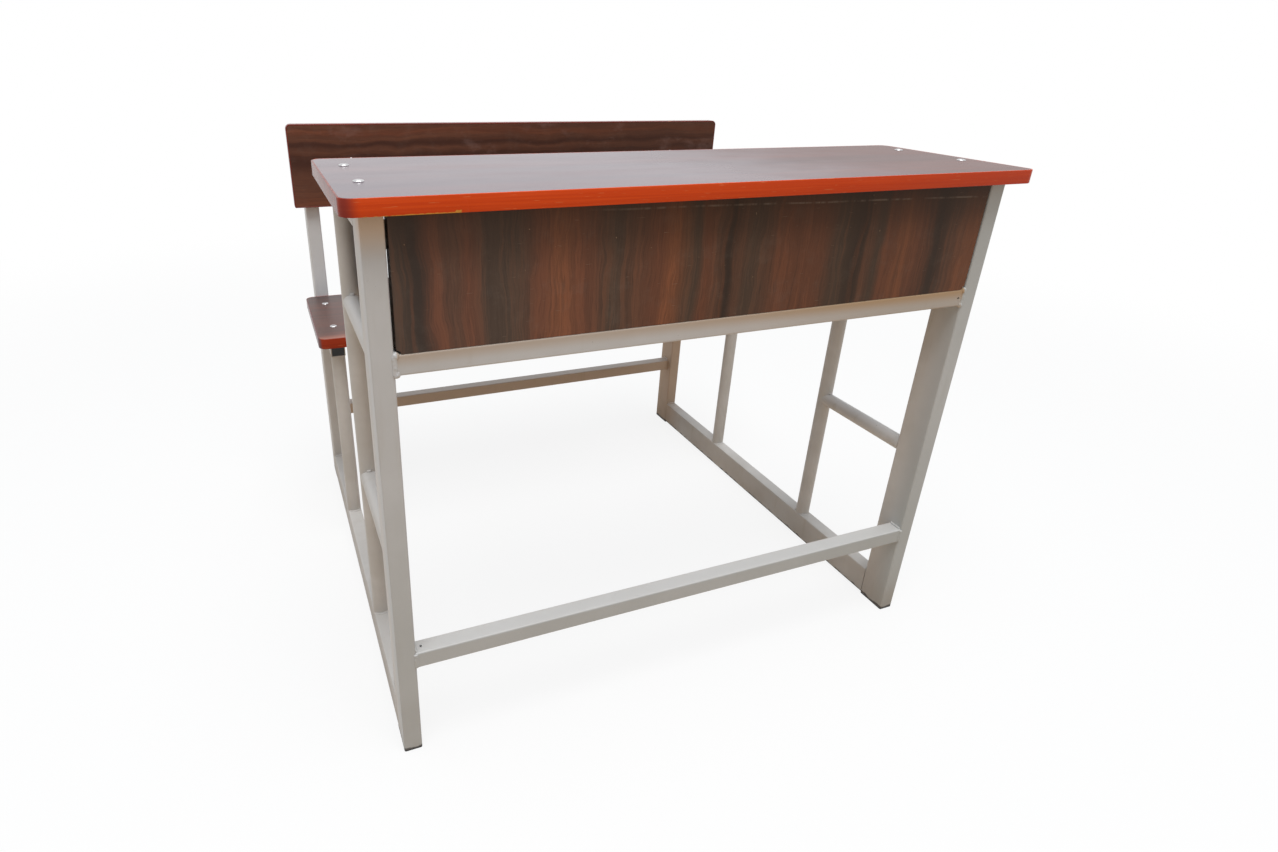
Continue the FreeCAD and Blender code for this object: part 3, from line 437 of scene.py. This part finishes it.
def desktop_band_marks(paint, colour):
    """Bare board along the chipped lower edge near the left end, and a darker red round the
    corner.

    The band is deeper red to the right, and faded to mauve on its left end.
    """
    left, front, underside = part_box("desktop_edge_band")[0]
    ragged = paint.streaks(paint.x * 160, 0.0, 8.0, detail=3.0, roughness=0.7)
    along = paint.x - left
    height = along.above(50 * MM, 20 * MM) * (0.8 * MM) + 0.3 * MM
    height = along.above(111 * MM, 1 * MM) * (1.6 * MM) + height
    low = 1 - (paint.z - (ragged - 0.5) * (4 * MM)).above(height + underside, 0.4 * MM)
    stretch = along.above(22 * MM, 2 * MM) * (1 - along.above(117 * MM, 1 * MM))
    colour = paint.mix(low * stretch, colour, seen(206, 146, 62))
    colour = paint.mix(along.above(0.55, 0.4) * 0.45, colour, seen(156, 44, 16))
    past_corner = paint.y.above(front + 10 * MM, 6 * MM)
    dark_corner = (1 - along.above(13 * MM, 8 * MM)) * (1 - past_corner)
    colour = paint.mix(dark_corner * 0.8, colour, seen(112, 44, 42))
    grain = paint.streaks(paint.y * 240, paint.z * 14, 5.0, detail=3.0)
    end = (1 - along.above(3.6 * MM, 0.8 * MM)) * past_corner
    faded = paint.mix(grain.above(0.5, 0.2), seen(94, 36, 32), seen(140, 76, 68))
    return paint.mix(end * 0.95, colour, faded)


def seat_band_marks(paint, colour):
    """The left end of the seat's band is browner than its front."""
    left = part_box("seat_edge_band")[0][0]
    end = 1 - paint.x.above(left + 4 * MM, 2 * MM)
    return paint.mix(end * 0.9, colour, seen(112, 82, 82))


def bright_zinc():
    """Bright plated steel with turning marks and a few dull specks."""
    paint = Paint("bright_zinc")
    clouds = paint.noise(paint.place, 320.0, detail=3.0)
    specks = paint.noise(paint.place, 1500.0)
    colour = paint.mix(clouds.above(0.5, 0.2), seen(222, 222, 224), seen(196, 196, 198))
    colour = paint.mix(specks.above(0.68, 0.04) * 0.6, colour, seen(120, 116, 110))
    normal = paint.bump(specks, 0.04 * MM, 0.4)
    return paint.finish(colour, 0.2 + clouds * 0.16, normal, metallic=1.0)


def black_plastic():
    """Moulded black plastic, scuffed grey where it is knocked."""
    paint = Paint("black_plastic")
    grain = paint.noise(paint.place, 900.0)
    scuffs = paint.noise(paint.place, 70.0, detail=5.0, roughness=0.7)
    colour = paint.mix(scuffs.above(0.6, 0.08) * 0.5, seen(24, 23, 22), seen(74, 68, 62))
    normal = paint.bump(grain, 0.06 * MM, 0.5)
    return paint.finish(colour, 0.42 + scuffs * 0.2, normal)


# Words in the names of the parts that tell what they are made of.
METAL_WORDS = ("bolts", "nuts", "screws")
PLASTIC_WORDS = ("foot", "cap", "plugs")
BOARD_WORDS = ("board", "desktop", "panel", "shelf", "band")
PAINTED_NEAR_BOARDS = ("left_desktop_bearer", "right_desktop_bearer", "panel_tabs", "shelf_rail")


def dress(material, name):
    """Gives a finish to a carried-over part of the model."""
    nodes[name].data.materials.clear()
    nodes[name].data.materials.append(material)


def dress_frame(grey, zinc):
    """The tubes in grey paint, the fasteners in bright zinc, and the plastic parts in black."""
    plastic = black_plastic()
    for name in nodes:
        if any(word in name for word in METAL_WORDS):
            dress(zinc, name)
        elif any(word in name for word in PLASTIC_WORDS):
            dress(plastic, name)
        elif name in PAINTED_NEAR_BOARDS or not any(word in name for word in BOARD_WORDS):
            dress(grey, name)


def dress_boards():
    """Each board in its own walnut."""
    lower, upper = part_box("modesty_panel")
    bands = (lower[0], upper[0], PANEL_BANDS)
    panel = walnut("panel_walnut", "z", "x", bands, marks=panel_marks, sheen=0.11)
    dress(panel, "modesty_panel")
    dress(desktop_laminate(), "desktop")
    dress(walnut("seat_walnut", "x", "y", seed=9.0, marks=seat_marks), "seat_board")
    lower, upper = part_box("backrest_board")
    bands = (lower[2], upper[2], BACKREST_BANDS)
    backrest = walnut(
        "backrest_walnut", "x", "z", bands, seed=14.0, marks=backrest_marks, sheen=0.09,
    )
    dress(backrest, "backrest_board")
    dress(walnut("shelf_walnut", "x", "y", rough=0.35, seed=21.0), "book_shelf")


# Modelling helpers

# Degrees between two faces, up to which they are shaded as one round surface.
ROUND_ANGLE = 35
# A face lies flat across an axis where this share of its direction, or more, is along it.
FLAT = 0.95


def place_new(name, data):
    """A new object in the scene."""
    piece = bpy.data.objects.new(name, data)
    bpy.context.scene.collection.objects.link(piece)
    return piece


def select_just(pieces):
    """Selects these pieces and no others, with the first of them active."""
    bpy.ops.object.select_all(action="DESELECT")
    for piece in pieces:
        piece.select_set(True)
    bpy.context.view_layer.objects.active = pieces[0]


def start(name, add_primitive, **settings):
    """Adds a primitive as a new piece and opens it, with all of it selected."""
    bpy.ops.object.select_all(action="DESELECT")
    add_primitive(**settings)
    bpy.ops.object.transform_apply(location=True, rotation=True, scale=True)
    piece = bpy.context.object
    piece.name = piece.data.name = name
    bpy.ops.object.mode_set(mode="EDIT")
    bpy.ops.mesh.select_all(action="SELECT")
    return piece


def choose(piece, kind, test):
    """Selects just those vertices, edges or faces of an open piece that pass a test."""
    bpy.ops.mesh.select_mode(type=kind)
    bpy.ops.mesh.select_all(action="DESELECT")
    mesh = bmesh.from_edit_mesh(piece.data)
    items = {"VERT": mesh.verts, "EDGE": mesh.edges, "FACE": mesh.faces}[kind]
    for item in items:
        if test(item):
            item.select_set(True)
    mesh.select_flush_mode()
    bmesh.update_edit_mesh(piece.data)


def close(piece, smooth_angle):
    """Ends the editing of a piece, with its faces outwards and its round stretches smooth."""
    bpy.ops.mesh.select_all(action="SELECT")
    bpy.ops.mesh.normals_make_consistent(inside=False)
    bpy.ops.object.mode_set(mode="OBJECT")
    bpy.ops.object.shade_smooth_by_angle(angle=math.radians(smooth_angle))
    return piece


def extrude(value):
    """Draws the selection out by a distance on each axis."""
    bpy.ops.mesh.extrude_region_move(TRANSFORM_OT_translate={"value": value})


def fit(piece, material, slot, *replaced):
    """Fixes a new piece to the desk, in place of the plain solids that it stands for."""
    piece.data.materials.clear()
    piece.data.materials.append(material)
    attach(piece, "root")
    if replaced:
        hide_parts(*replaced)


# Edge bands

BAND_THICKNESS = 2 * MM
BAND_ARRIS = 0.7 * MM
ARRIS_STEPS = 3
SHARP_ANGLE = math.radians(60)
BOARD_CORNER = 14 * MM
CORNER_STEPS = 10
BACKREST_UPPER_CORNER = 9 * MM
BACKREST_LOWER_CORNER = 3 * MM


def edge_band(node, material, across, corners):
    """The band round a board: a flat outline with round corners, inset, and drawn out to a ring.

    across is the axis, 1 or 2, that the board's depth or height lies along. corners are the
    radii at its low and its high side.
    """
    lower, upper = (Vector(corner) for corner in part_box(node))
    through = 3 - across
    size, middle = upper - lower, (lower + upper) / 2
    base = middle.copy()
    base[through] = lower[through]
    turn = (0, 0, 0) if across == 1 else (math.radians(90), 0, 0)
    plane = bpy.ops.mesh.primitive_plane_add
    band = start(f"{node}_trim", plane, size=1, location=base, rotation=turn)
    stretch = [size.x, 1, 1]
    stretch[across] = size[across]
    bpy.ops.transform.resize(value=stretch, center_override=base)
    for low_side, corner in zip((True, False), corners):

        def at_this_side(point):
            at_end = abs(abs(point.co.x) - size.x / 2) < BAND_ARRIS
            return at_end and (point.co[across] < middle[across]) == low_side

        choose(band, "VERT", at_this_side)
        bpy.ops.mesh.bevel(offset=corner, affect="VERTICES", segments=CORNER_STEPS)
    bpy.ops.mesh.select_mode(type="FACE")
    bpy.ops.mesh.select_all(action="SELECT")
    bpy.ops.mesh.inset(thickness=BAND_THICKNESS)
    bpy.ops.mesh.delete(type="FACE")
    bpy.ops.mesh.select_all(action="SELECT")
    drawn = [0, 0, 0]
    drawn[through] = size[through]
    extrude(drawn)

    def on_rim(edge):
        """Whether an edge is one of the sharp ones that run round the outside of the band."""
        first, second = (end.co for end in edge.verts)
        if abs(first[through] - second[through]) > BAND_ARRIS:
            return False
        offset = (first + second) / 2 - middle
        from_end = size.x / 2 - abs(offset.x) - BAND_THICKNESS / 2
        from_side = size[across] / 2 - abs(offset[across]) - BAND_THICKNESS / 2
        outside = min(from_end, from_side) < 0 or max(from_end, from_side) < BOARD_CORNER
        return outside and edge.calc_face_angle(0) > SHARP_ANGLE

    choose(band, "EDGE", on_rim)
    bpy.ops.mesh.bevel(offset=BAND_ARRIS, segments=ARRIS_STEPS, affect="EDGES")
    fit(close(band, ROUND_ANGLE), material, "edge_band", node)


def edge_bands():
    """Orange round the desktop, red round the seat and brown round the backrest."""
    bright, deep = seen(216, 78, 26), seen(200, 66, 20)
    orange = edge_tape("orange_edge_tape", bright, deep, desktop_band_marks)
    edge_band("desktop_edge_band", orange, 1, (BOARD_CORNER, BOARD_CORNER))
    red = edge_tape("red_edge_tape", seen(158, 55, 27), seen(140, 46, 22), seat_band_marks)
    edge_band("seat_edge_band", red, 1, (BOARD_CORNER, BOARD_CORNER))
    brown = edge_tape("brown_edge_tape", seen(128, 54, 44), seen(100, 44, 38))
    edge_band("backrest_edge_band", brown, 2, (BACKREST_LOWER_CORNER, BACKREST_UPPER_CORNER))


# Bolts and nuts

HEAD_RADIUS = 6 * MM
HEAD_HEIGHT = 2.4 * MM
HEAD_RIM = 0.6 * MM
HEAD_SIDES = 32
SHANK_RADIUS = 3 * MM
GRIP = 41 * MM
THREAD_PITCH = 1 * MM
THREAD_DEPTH = 0.6 * MM
THREAD_TURNS = 9
DOME_STEPS = 6
BOLT_ROUND_ANGLE = 50
NUT_CORNER_RADIUS = 10 / math.sqrt(3) * MM
NUT_HEIGHT = 5 * MM
NUT_CHAMFER = 0.7 * MM
NUT_WALL = 1.9 * MM
NUT_ROUND_ANGLE = 20


def ring_to(radius, height, before):
    """Draws the open ring out to a new radius and height, from the last ones."""
    old_radius, old_height = before
    extrude((0, 0, height - old_height))
    share = radius / old_radius
    bpy.ops.transform.resize(value=(share, share, 1), center_override=(0, 0, height))
    return radius, height


def bolt():
    """One mushroom head bolt with its axis on Z and the underside of its head at height 0."""
    piece = start(
        "bolt", bpy.ops.mesh.primitive_circle_add,
        radius=HEAD_RADIUS, vertices=HEAD_SIDES, fill_type="NGON",
    )
    last = ring_to(HEAD_RADIUS, HEAD_RIM, (HEAD_RADIUS, 0))
    dome = HEAD_HEIGHT - HEAD_RIM
    for step in range(1, DOME_STEPS):
        angle = math.radians(90) * step / DOME_STEPS
        last = ring_to(HEAD_RADIUS * math.cos(angle), HEAD_RIM + dome * math.sin(angle), last)

    def underside(face):
        return abs(face.calc_center_median().z) < HEAD_RIM / 4 and face.normal.z < -FLAT

    choose(piece, "FACE", underside)
    bpy.ops.mesh.inset(thickness=HEAD_RADIUS - SHANK_RADIUS)
    last = ring_to(SHANK_RADIUS, -GRIP, (SHANK_RADIUS, 0))
    for turn in range(THREAD_TURNS):
        height = last[1]
        last = ring_to(SHANK_RADIUS - THREAD_DEPTH, height - THREAD_PITCH / 2, last)
        last = ring_to(SHANK_RADIUS, height - THREAD_PITCH, last)

    def lower_rim(edge):
        ends = [end.co for end in edge.verts]
        outside = all(end.xy.length > HEAD_RADIUS - HEAD_RIM / 4 for end in ends)
        return outside and all(abs(end.z) < HEAD_RIM / 4 for end in ends)

    choose(piece, "EDGE", lower_rim)
    bpy.ops.mesh.bevel(offset=HEAD_RIM / 3, segments=2, affect="EDGES")
    return close(piece, BOLT_ROUND_ANGLE)


def nut():
    """One hexagon nut, chamfered on the outer side, with its bearing face at height 0."""
    piece = start(
        "nut", bpy.ops.mesh.primitive_circle_add, radius=NUT_CORNER_RADIUS, vertices=6,
        fill_type="NGON", rotation=(0, 0, math.radians(30)),
    )
    last = ring_to(NUT_CORNER_RADIUS, NUT_CHAMFER - NUT_HEIGHT, (NUT_CORNER_RADIUS, 0))
    ring_to(NUT_CORNER_RADIUS - NUT_CHAMFER, -NUT_HEIGHT, last)

    def bearing(face):
        return abs(face.normal.z) > FLAT and face.calc_center_median().z > -NUT_CHAMFER

    def outer(face):
        return abs(face.normal.z) > FLAT and face.calc_center_median().z < -NUT_CHAMFER

    def within_wall(face):
        return all(end.co.xy.length < NUT_CORNER_RADIUS - NUT_WALL for end in face.verts)

    choose(piece, "FACE", bearing)
    bpy.ops.mesh.inset(thickness=NUT_WALL)
    choose(piece, "FACE", outer)
    bpy.ops.mesh.inset(thickness=NUT_WALL - NUT_CHAMFER * math.cos(math.radians(30)))
    choose(piece, "FACE", within_wall)
    bpy.ops.mesh.bridge_edge_loops()
    return close(piece, NUT_ROUND_ANGLE)


def set_copies(model, zinc, name, node, places, turn):
    """Copies of a model at the places of a group, joined as one piece."""
    group = []
    for place in places:
        copy = place_new(name, model.data.copy())
        copy.data.transform(Matrix.Translation(place) @ turn)
        group.append(copy)
    select_just(group)
    bpy.ops.object.join()
    fit(group[0], zinc, "zinc_steel", node)


def bolt_places(node, axis):
    """The places of a node's bolts: the corners of its box, drawn in by a head's radius.

    Where they stand in a single row, the box is as high as a head, and each place counts once.
    """
    lower, upper = (Vector(corner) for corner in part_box(node))
    across, up = (a for a in range(3) if a != axis)
    rows = sorted({round(lower[up] + HEAD_RADIUS, 5), round(upper[up] - HEAD_RADIUS, 5)})
    spots = []
    for column in (lower[across] + HEAD_RADIUS, upper[across] - HEAD_RADIUS):
        for row in rows:
            spot = Vector((0, 0, 0))
            spot[across], spot[up] = column, row
            spots.append(spot)
    return spots


def bolts(zinc):
    """The bolts of each board, and the nuts on their tails behind its tubes."""
    model_bolt = bolt()
    model_nut = nut()
    for name in ("desktop", "seat"):
        board = "desktop" if name == "desktop" else "seat_board"
        places = bolt_places(f"{name}_bolts", 2)
        heads = [spot + Vector((0, 0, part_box(board)[1][2])) for spot in places]
        set_copies(model_bolt, zinc, f"{name}_domed_bolts", f"{name}_bolts", heads, Matrix())
        tails = [spot + Vector((0, 0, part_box(f"{name}_nuts")[1][2])) for spot in places]
        set_copies(model_nut, zinc, f"{name}_hexagon_nuts", f"{name}_nuts", tails, Matrix())
    places = bolt_places("backrest_bolts", 1)
    turn = Matrix.Rotation(math.radians(90), 4, "X")
    heads = [spot + Vector((0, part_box("backrest_board")[0][1], 0)) for spot in places]
    set_copies(model_bolt, zinc, "backrest_domed_bolts", "backrest_bolts", heads, turn)
    tails = [spot + Vector((0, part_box("backrest_nuts")[0][1], 0)) for spot in places]
    set_copies(model_nut, zinc, "backrest_hexagon_nuts", "backrest_nuts", tails, turn)
    for model in (model_bolt, model_nut):
        bpy.data.objects.remove(model)


# Welds

WELD_GRAIN = 0.5 * MM
WELD_LUMP = 3.5 * MM
WELD_SWELL = 1.1 * MM
# Lumps over this level swell the bead, and those under it sink in.
WELD_SUNK = 0.35
SOFTENING = 0.6
SOFTENING_TURNS = 4
FLUSH_WELD_RADIUS = 3.4 * MM
FLUSH_WELD_PROUD = 1.7 * MM
FLUSH_WELD_SIDES = 16
WELD_END_RADIUS = 4.6 * MM
WELD_END_DEPTH = 2.2 * MM
WELD_END_INSET = 1.5 * MM
WELD_END_SIDES, WELD_END_RINGS = 12, 8


def make_lumpy(piece):
    """Remeshes beads finely, swells them unevenly and softens the lumps."""
    grain = piece.modifiers.new("grain", "REMESH")
    grain.mode = "VOXEL"
    grain.voxel_size = WELD_GRAIN
    lumps = bpy.data.textures.new("weld_lumps", "CLOUDS")
    lumps.noise_scale = WELD_LUMP
    swell = piece.modifiers.new("swell", "DISPLACE")
    swell.texture = lumps
    swell.texture_coords = "LOCAL"
    swell.strength = WELD_SWELL
    swell.mid_level = WELD_SUNK
    soft = piece.modifiers.new("soft", "SMOOTH")
    soft.factor = SOFTENING
    soft.iterations = SOFTENING_TURNS
    for name in ("grain", "swell", "soft"):
        bpy.ops.object.modifier_apply(modifier=name)
    bpy.ops.object.shade_smooth()


def melt(node, grey):
    """A run of beads like the plain ones of a node, with soft uneven lumps as under paint."""
    piece = place_new(f"{node}_run", nodes[node].data.copy())
    select_just([piece])
    bpy.ops.object.mode_set(mode="EDIT")
    bpy.ops.mesh.select_all(action="SELECT")
    bpy.ops.mesh.remove_doubles(threshold=WELD_GRAIN / 50)
    bpy.ops.object.mode_set(mode="OBJECT")
    make_lumpy(piece)
    fit(piece, grey, "grey_paint", node)


def end_lump(x, y, z):
    """A round lump where a flush bead was begun or ended."""
    inward = x - math.copysign(WELD_END_INSET, x)
    bpy.ops.mesh.primitive_uv_sphere_add(
        radius=WELD_END_RADIUS, segments=WELD_END_SIDES, ring_count=WELD_END_RINGS,
        location=(inward, y + WELD_END_DEPTH, z),
    )
    bpy.ops.object.transform_apply(location=True)
    return bpy.context.active_object


def flush_welds(grey):
    """The low upright beads on the front face, where the front rail and stretcher meet the legs.

    Those of the rail end in lumps.
    """
    beads = []
    for node in ("front_rail", "front_stretcher"):
        lower, upper = (Vector(corner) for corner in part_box(node))
        middle = (lower + upper) / 2
        height = upper.z - lower.z - FLUSH_WELD_RADIUS
        for x in (lower.x, upper.x):
            place = (x, lower.y - FLUSH_WELD_PROUD + FLUSH_WELD_RADIUS, middle.z)
            bead = start(
                "front_joint_beads", bpy.ops.mesh.primitive_cylinder_add,
                radius=FLUSH_WELD_RADIUS, depth=height, vertices=FLUSH_WELD_SIDES, location=place,
            )
            choose(bead, "FACE", lambda face: abs(face.normal.z) > FLAT)
            bpy.ops.mesh.inset(thickness=FLUSH_WELD_RADIUS / 2)
            bpy.ops.object.mode_set(mode="OBJECT")
            beads.append(bead)
            if node == "front_rail":
                for end in (-height / 2, height / 2):
                    beads.append(end_lump(x, lower.y, middle.z + end))
    select_just(beads)
    bpy.ops.object.join()
    make_lumpy(beads[0])
    fit(beads[0], grey, "grey_paint")


# Camera, floor and light

# The camera was solved from the frame's straight edges in the photograph.
CAMERA_PLACE = Vector((-0.5295, -1.1490, 0.8917))
CAMERA_YAW = math.radians(22.34)
CAMERA_PITCH = math.radians(25.07)
CAMERA_ROLL = math.radians(1.57)
PHOTO_WIDTH, PHOTO_HEIGHT = 1278, 852
FOCAL_PIXELS = 742.44
CENTRE_PIXEL = (556.83, 397.31)
SENSOR_WIDTH = 36.0
NEAREST = 10 * MM


def add_camera():
    """The photograph's own view: where it was taken from, which way, and through what lens."""
    data = bpy.data.cameras.new("photo_camera")
    camera = place_new("photo_camera", data)
    bpy.context.scene.camera = camera
    ahead = Vector((
        math.sin(CAMERA_YAW) * math.cos(CAMERA_PITCH),
        math.cos(CAMERA_YAW) * math.cos(CAMERA_PITCH),
        -math.sin(CAMERA_PITCH),
    ))
    level = Vector((math.cos(CAMERA_YAW), -math.sin(CAMERA_YAW), 0))
    up = level.cross(ahead)
    right = math.cos(CAMERA_ROLL) * level + math.sin(CAMERA_ROLL) * up
    top = math.cos(CAMERA_ROLL) * up - math.sin(CAMERA_ROLL) * level
    turn = Matrix((right, top, -ahead)).transposed().to_4x4()
    camera.matrix_world = Matrix.Translation(CAMERA_PLACE) @ turn
    data.sensor_width = SENSOR_WIDTH
    data.lens = FOCAL_PIXELS / PHOTO_WIDTH * SENSOR_WIDTH
    data.shift_x = (PHOTO_WIDTH / 2 - CENTRE_PIXEL[0]) / PHOTO_WIDTH
    data.shift_y = (CENTRE_PIXEL[1] - PHOTO_HEIGHT / 2) / PHOTO_WIDTH
    data.clip_start = NEAREST


def seen_rays(tree):
    """1 for rays from the camera, in gloss and through glass, and 0 for light that bounces."""
    path = tree.nodes.new("ShaderNodeLightPath")
    last = path.outputs["Is Camera Ray"]
    for name in ("Is Glossy Ray", "Is Transmission Ray"):
        either = tree.nodes.new("ShaderNodeMath")
        either.operation = "MAXIMUM"
        tree.links.new(last, either.inputs[0])
        tree.links.new(path.outputs[name], either.inputs[1])
        last = either.outputs[0]
    return last


def two_looks(tree, unseen, look, output):
    """Gives bouncing light one shader and the eye another."""
    mixer = tree.nodes.new("ShaderNodeMixShader")
    tree.links.new(seen_rays(tree), mixer.inputs[0])
    tree.links.new(unseen.outputs[0], mixer.inputs[1])
    tree.links.new(look.outputs[0], mixer.inputs[2])
    tree.links.new(mixer.outputs[0], tree.nodes[output].inputs["Surface"])


FLOOR_SIZE = 40.0
FLOOR_GAP = 0.5 * MM
FLOOR_SHADE = seen(240, 239, 237)
FLOOR_BOUNCE = seen(214, 186, 154)
# The share of the floor that glows by itself near the desk, which thins its shadow. The share
# grows to all of it between these distances.
FLOOR_GLOW = 0.86
OPEN_FLOOR = (1.2, 3.2)


def floor_material():
    """Plain white to the eye, with the desk's shadow on it, and a warm dull bounce."""
    material = bpy.data.materials.new("studio_floor")
    material.use_nodes = True
    tree = material.node_tree
    pale = tree.nodes["Principled BSDF"]
    pale.inputs["Base Color"].default_value = FLOOR_SHADE
    pale.inputs["Roughness"].default_value = 1.0
    pale.inputs["Specular IOR Level"].default_value = 0.0
    glow = tree.nodes.new("ShaderNodeEmission")
    look = tree.nodes.new("ShaderNodeMixShader")
    place = tree.nodes.new("ShaderNodeTexCoord")
    away = tree.nodes.new("ShaderNodeVectorMath")
    away.operation = "LENGTH"
    tree.links.new(place.outputs["Object"], away.inputs[0])
    share = tree.nodes.new("ShaderNodeMapRange")
    share.interpolation_type = "SMOOTHSTEP"
    share.inputs["From Min"].default_value, share.inputs["From Max"].default_value = OPEN_FLOOR
    share.inputs["To Min"].default_value = FLOOR_GLOW
    share.inputs["To Max"].default_value = 1.0
    tree.links.new(away.outputs["Value"], share.inputs["Value"])
    tree.links.new(share.outputs[0], look.inputs[0])
    tree.links.new(pale.outputs[0], look.inputs[1])
    tree.links.new(glow.outputs[0], look.inputs[2])
    bounce = tree.nodes.new("ShaderNodeBsdfDiffuse")
    bounce.inputs["Color"].default_value = FLOOR_BOUNCE
    two_looks(tree, bounce, look, "Material Output")
    return material


def add_floor():
    bpy.ops.object.select_all(action="DESELECT")
    bpy.ops.mesh.primitive_plane_add(size=FLOOR_SIZE, location=(0, 0, -FLOOR_GAP))
    floor = bpy.context.object
    floor.name = "studio_floor"
    floor.data.materials.append(floor_material())


SKY_COLOUR = (0.87, 0.93, 1.0, 1.0)
SKY_STRENGTH = 0.56


def add_world():
    """White to the eye, and a plain pale sky as a light."""
    world = bpy.data.worlds.new("studio_sky")
    bpy.context.scene.world = world
    world.use_nodes = True
    tree = world.node_tree
    sky = tree.nodes["Background"]
    sky.inputs["Color"].default_value = SKY_COLOUR
    sky.inputs["Strength"].default_value = SKY_STRENGTH
    white = tree.nodes.new("ShaderNodeBackground")
    white.inputs["Color"].default_value = (1.0, 1.0, 1.0, 1.0)
    two_looks(tree, sky, white, "World Output")


LAMP_PLACE = Vector((-0.30, -1.05, 3.85))
LAMP_TARGET = Vector((0, -0.1, 0.5))
LAMP_SIZE = (2.6, 2.2)
LAMP_WATTS = 110


def add_light():
    """One large soft lamp, high up in front of the desk."""
    data = bpy.data.lights.new("high_softbox", "AREA")
    data.shape = "RECTANGLE"
    data.size, data.size_y = LAMP_SIZE
    data.energy = LAMP_WATTS
    lamp = place_new("high_softbox", data)
    lamp.location = LAMP_PLACE
    lamp.rotation_euler = (LAMP_TARGET - LAMP_PLACE).to_track_quat("-Z", "Y").to_euler()


bolt_zinc = bright_zinc()
frame_grey = frame_paint()
dress_frame(frame_grey, bolt_zinc)
dress_boards()
for weld_node in ("left_frame_welds", "right_frame_welds", "cross_rail_welds"):
    melt(weld_node, frame_grey)
flush_welds(frame_grey)
edge_bands()
bolts(bolt_zinc)
add_camera()
add_world()
add_floor()
add_light()
bpy.context.scene.view_settings.view_transform = "Standard"
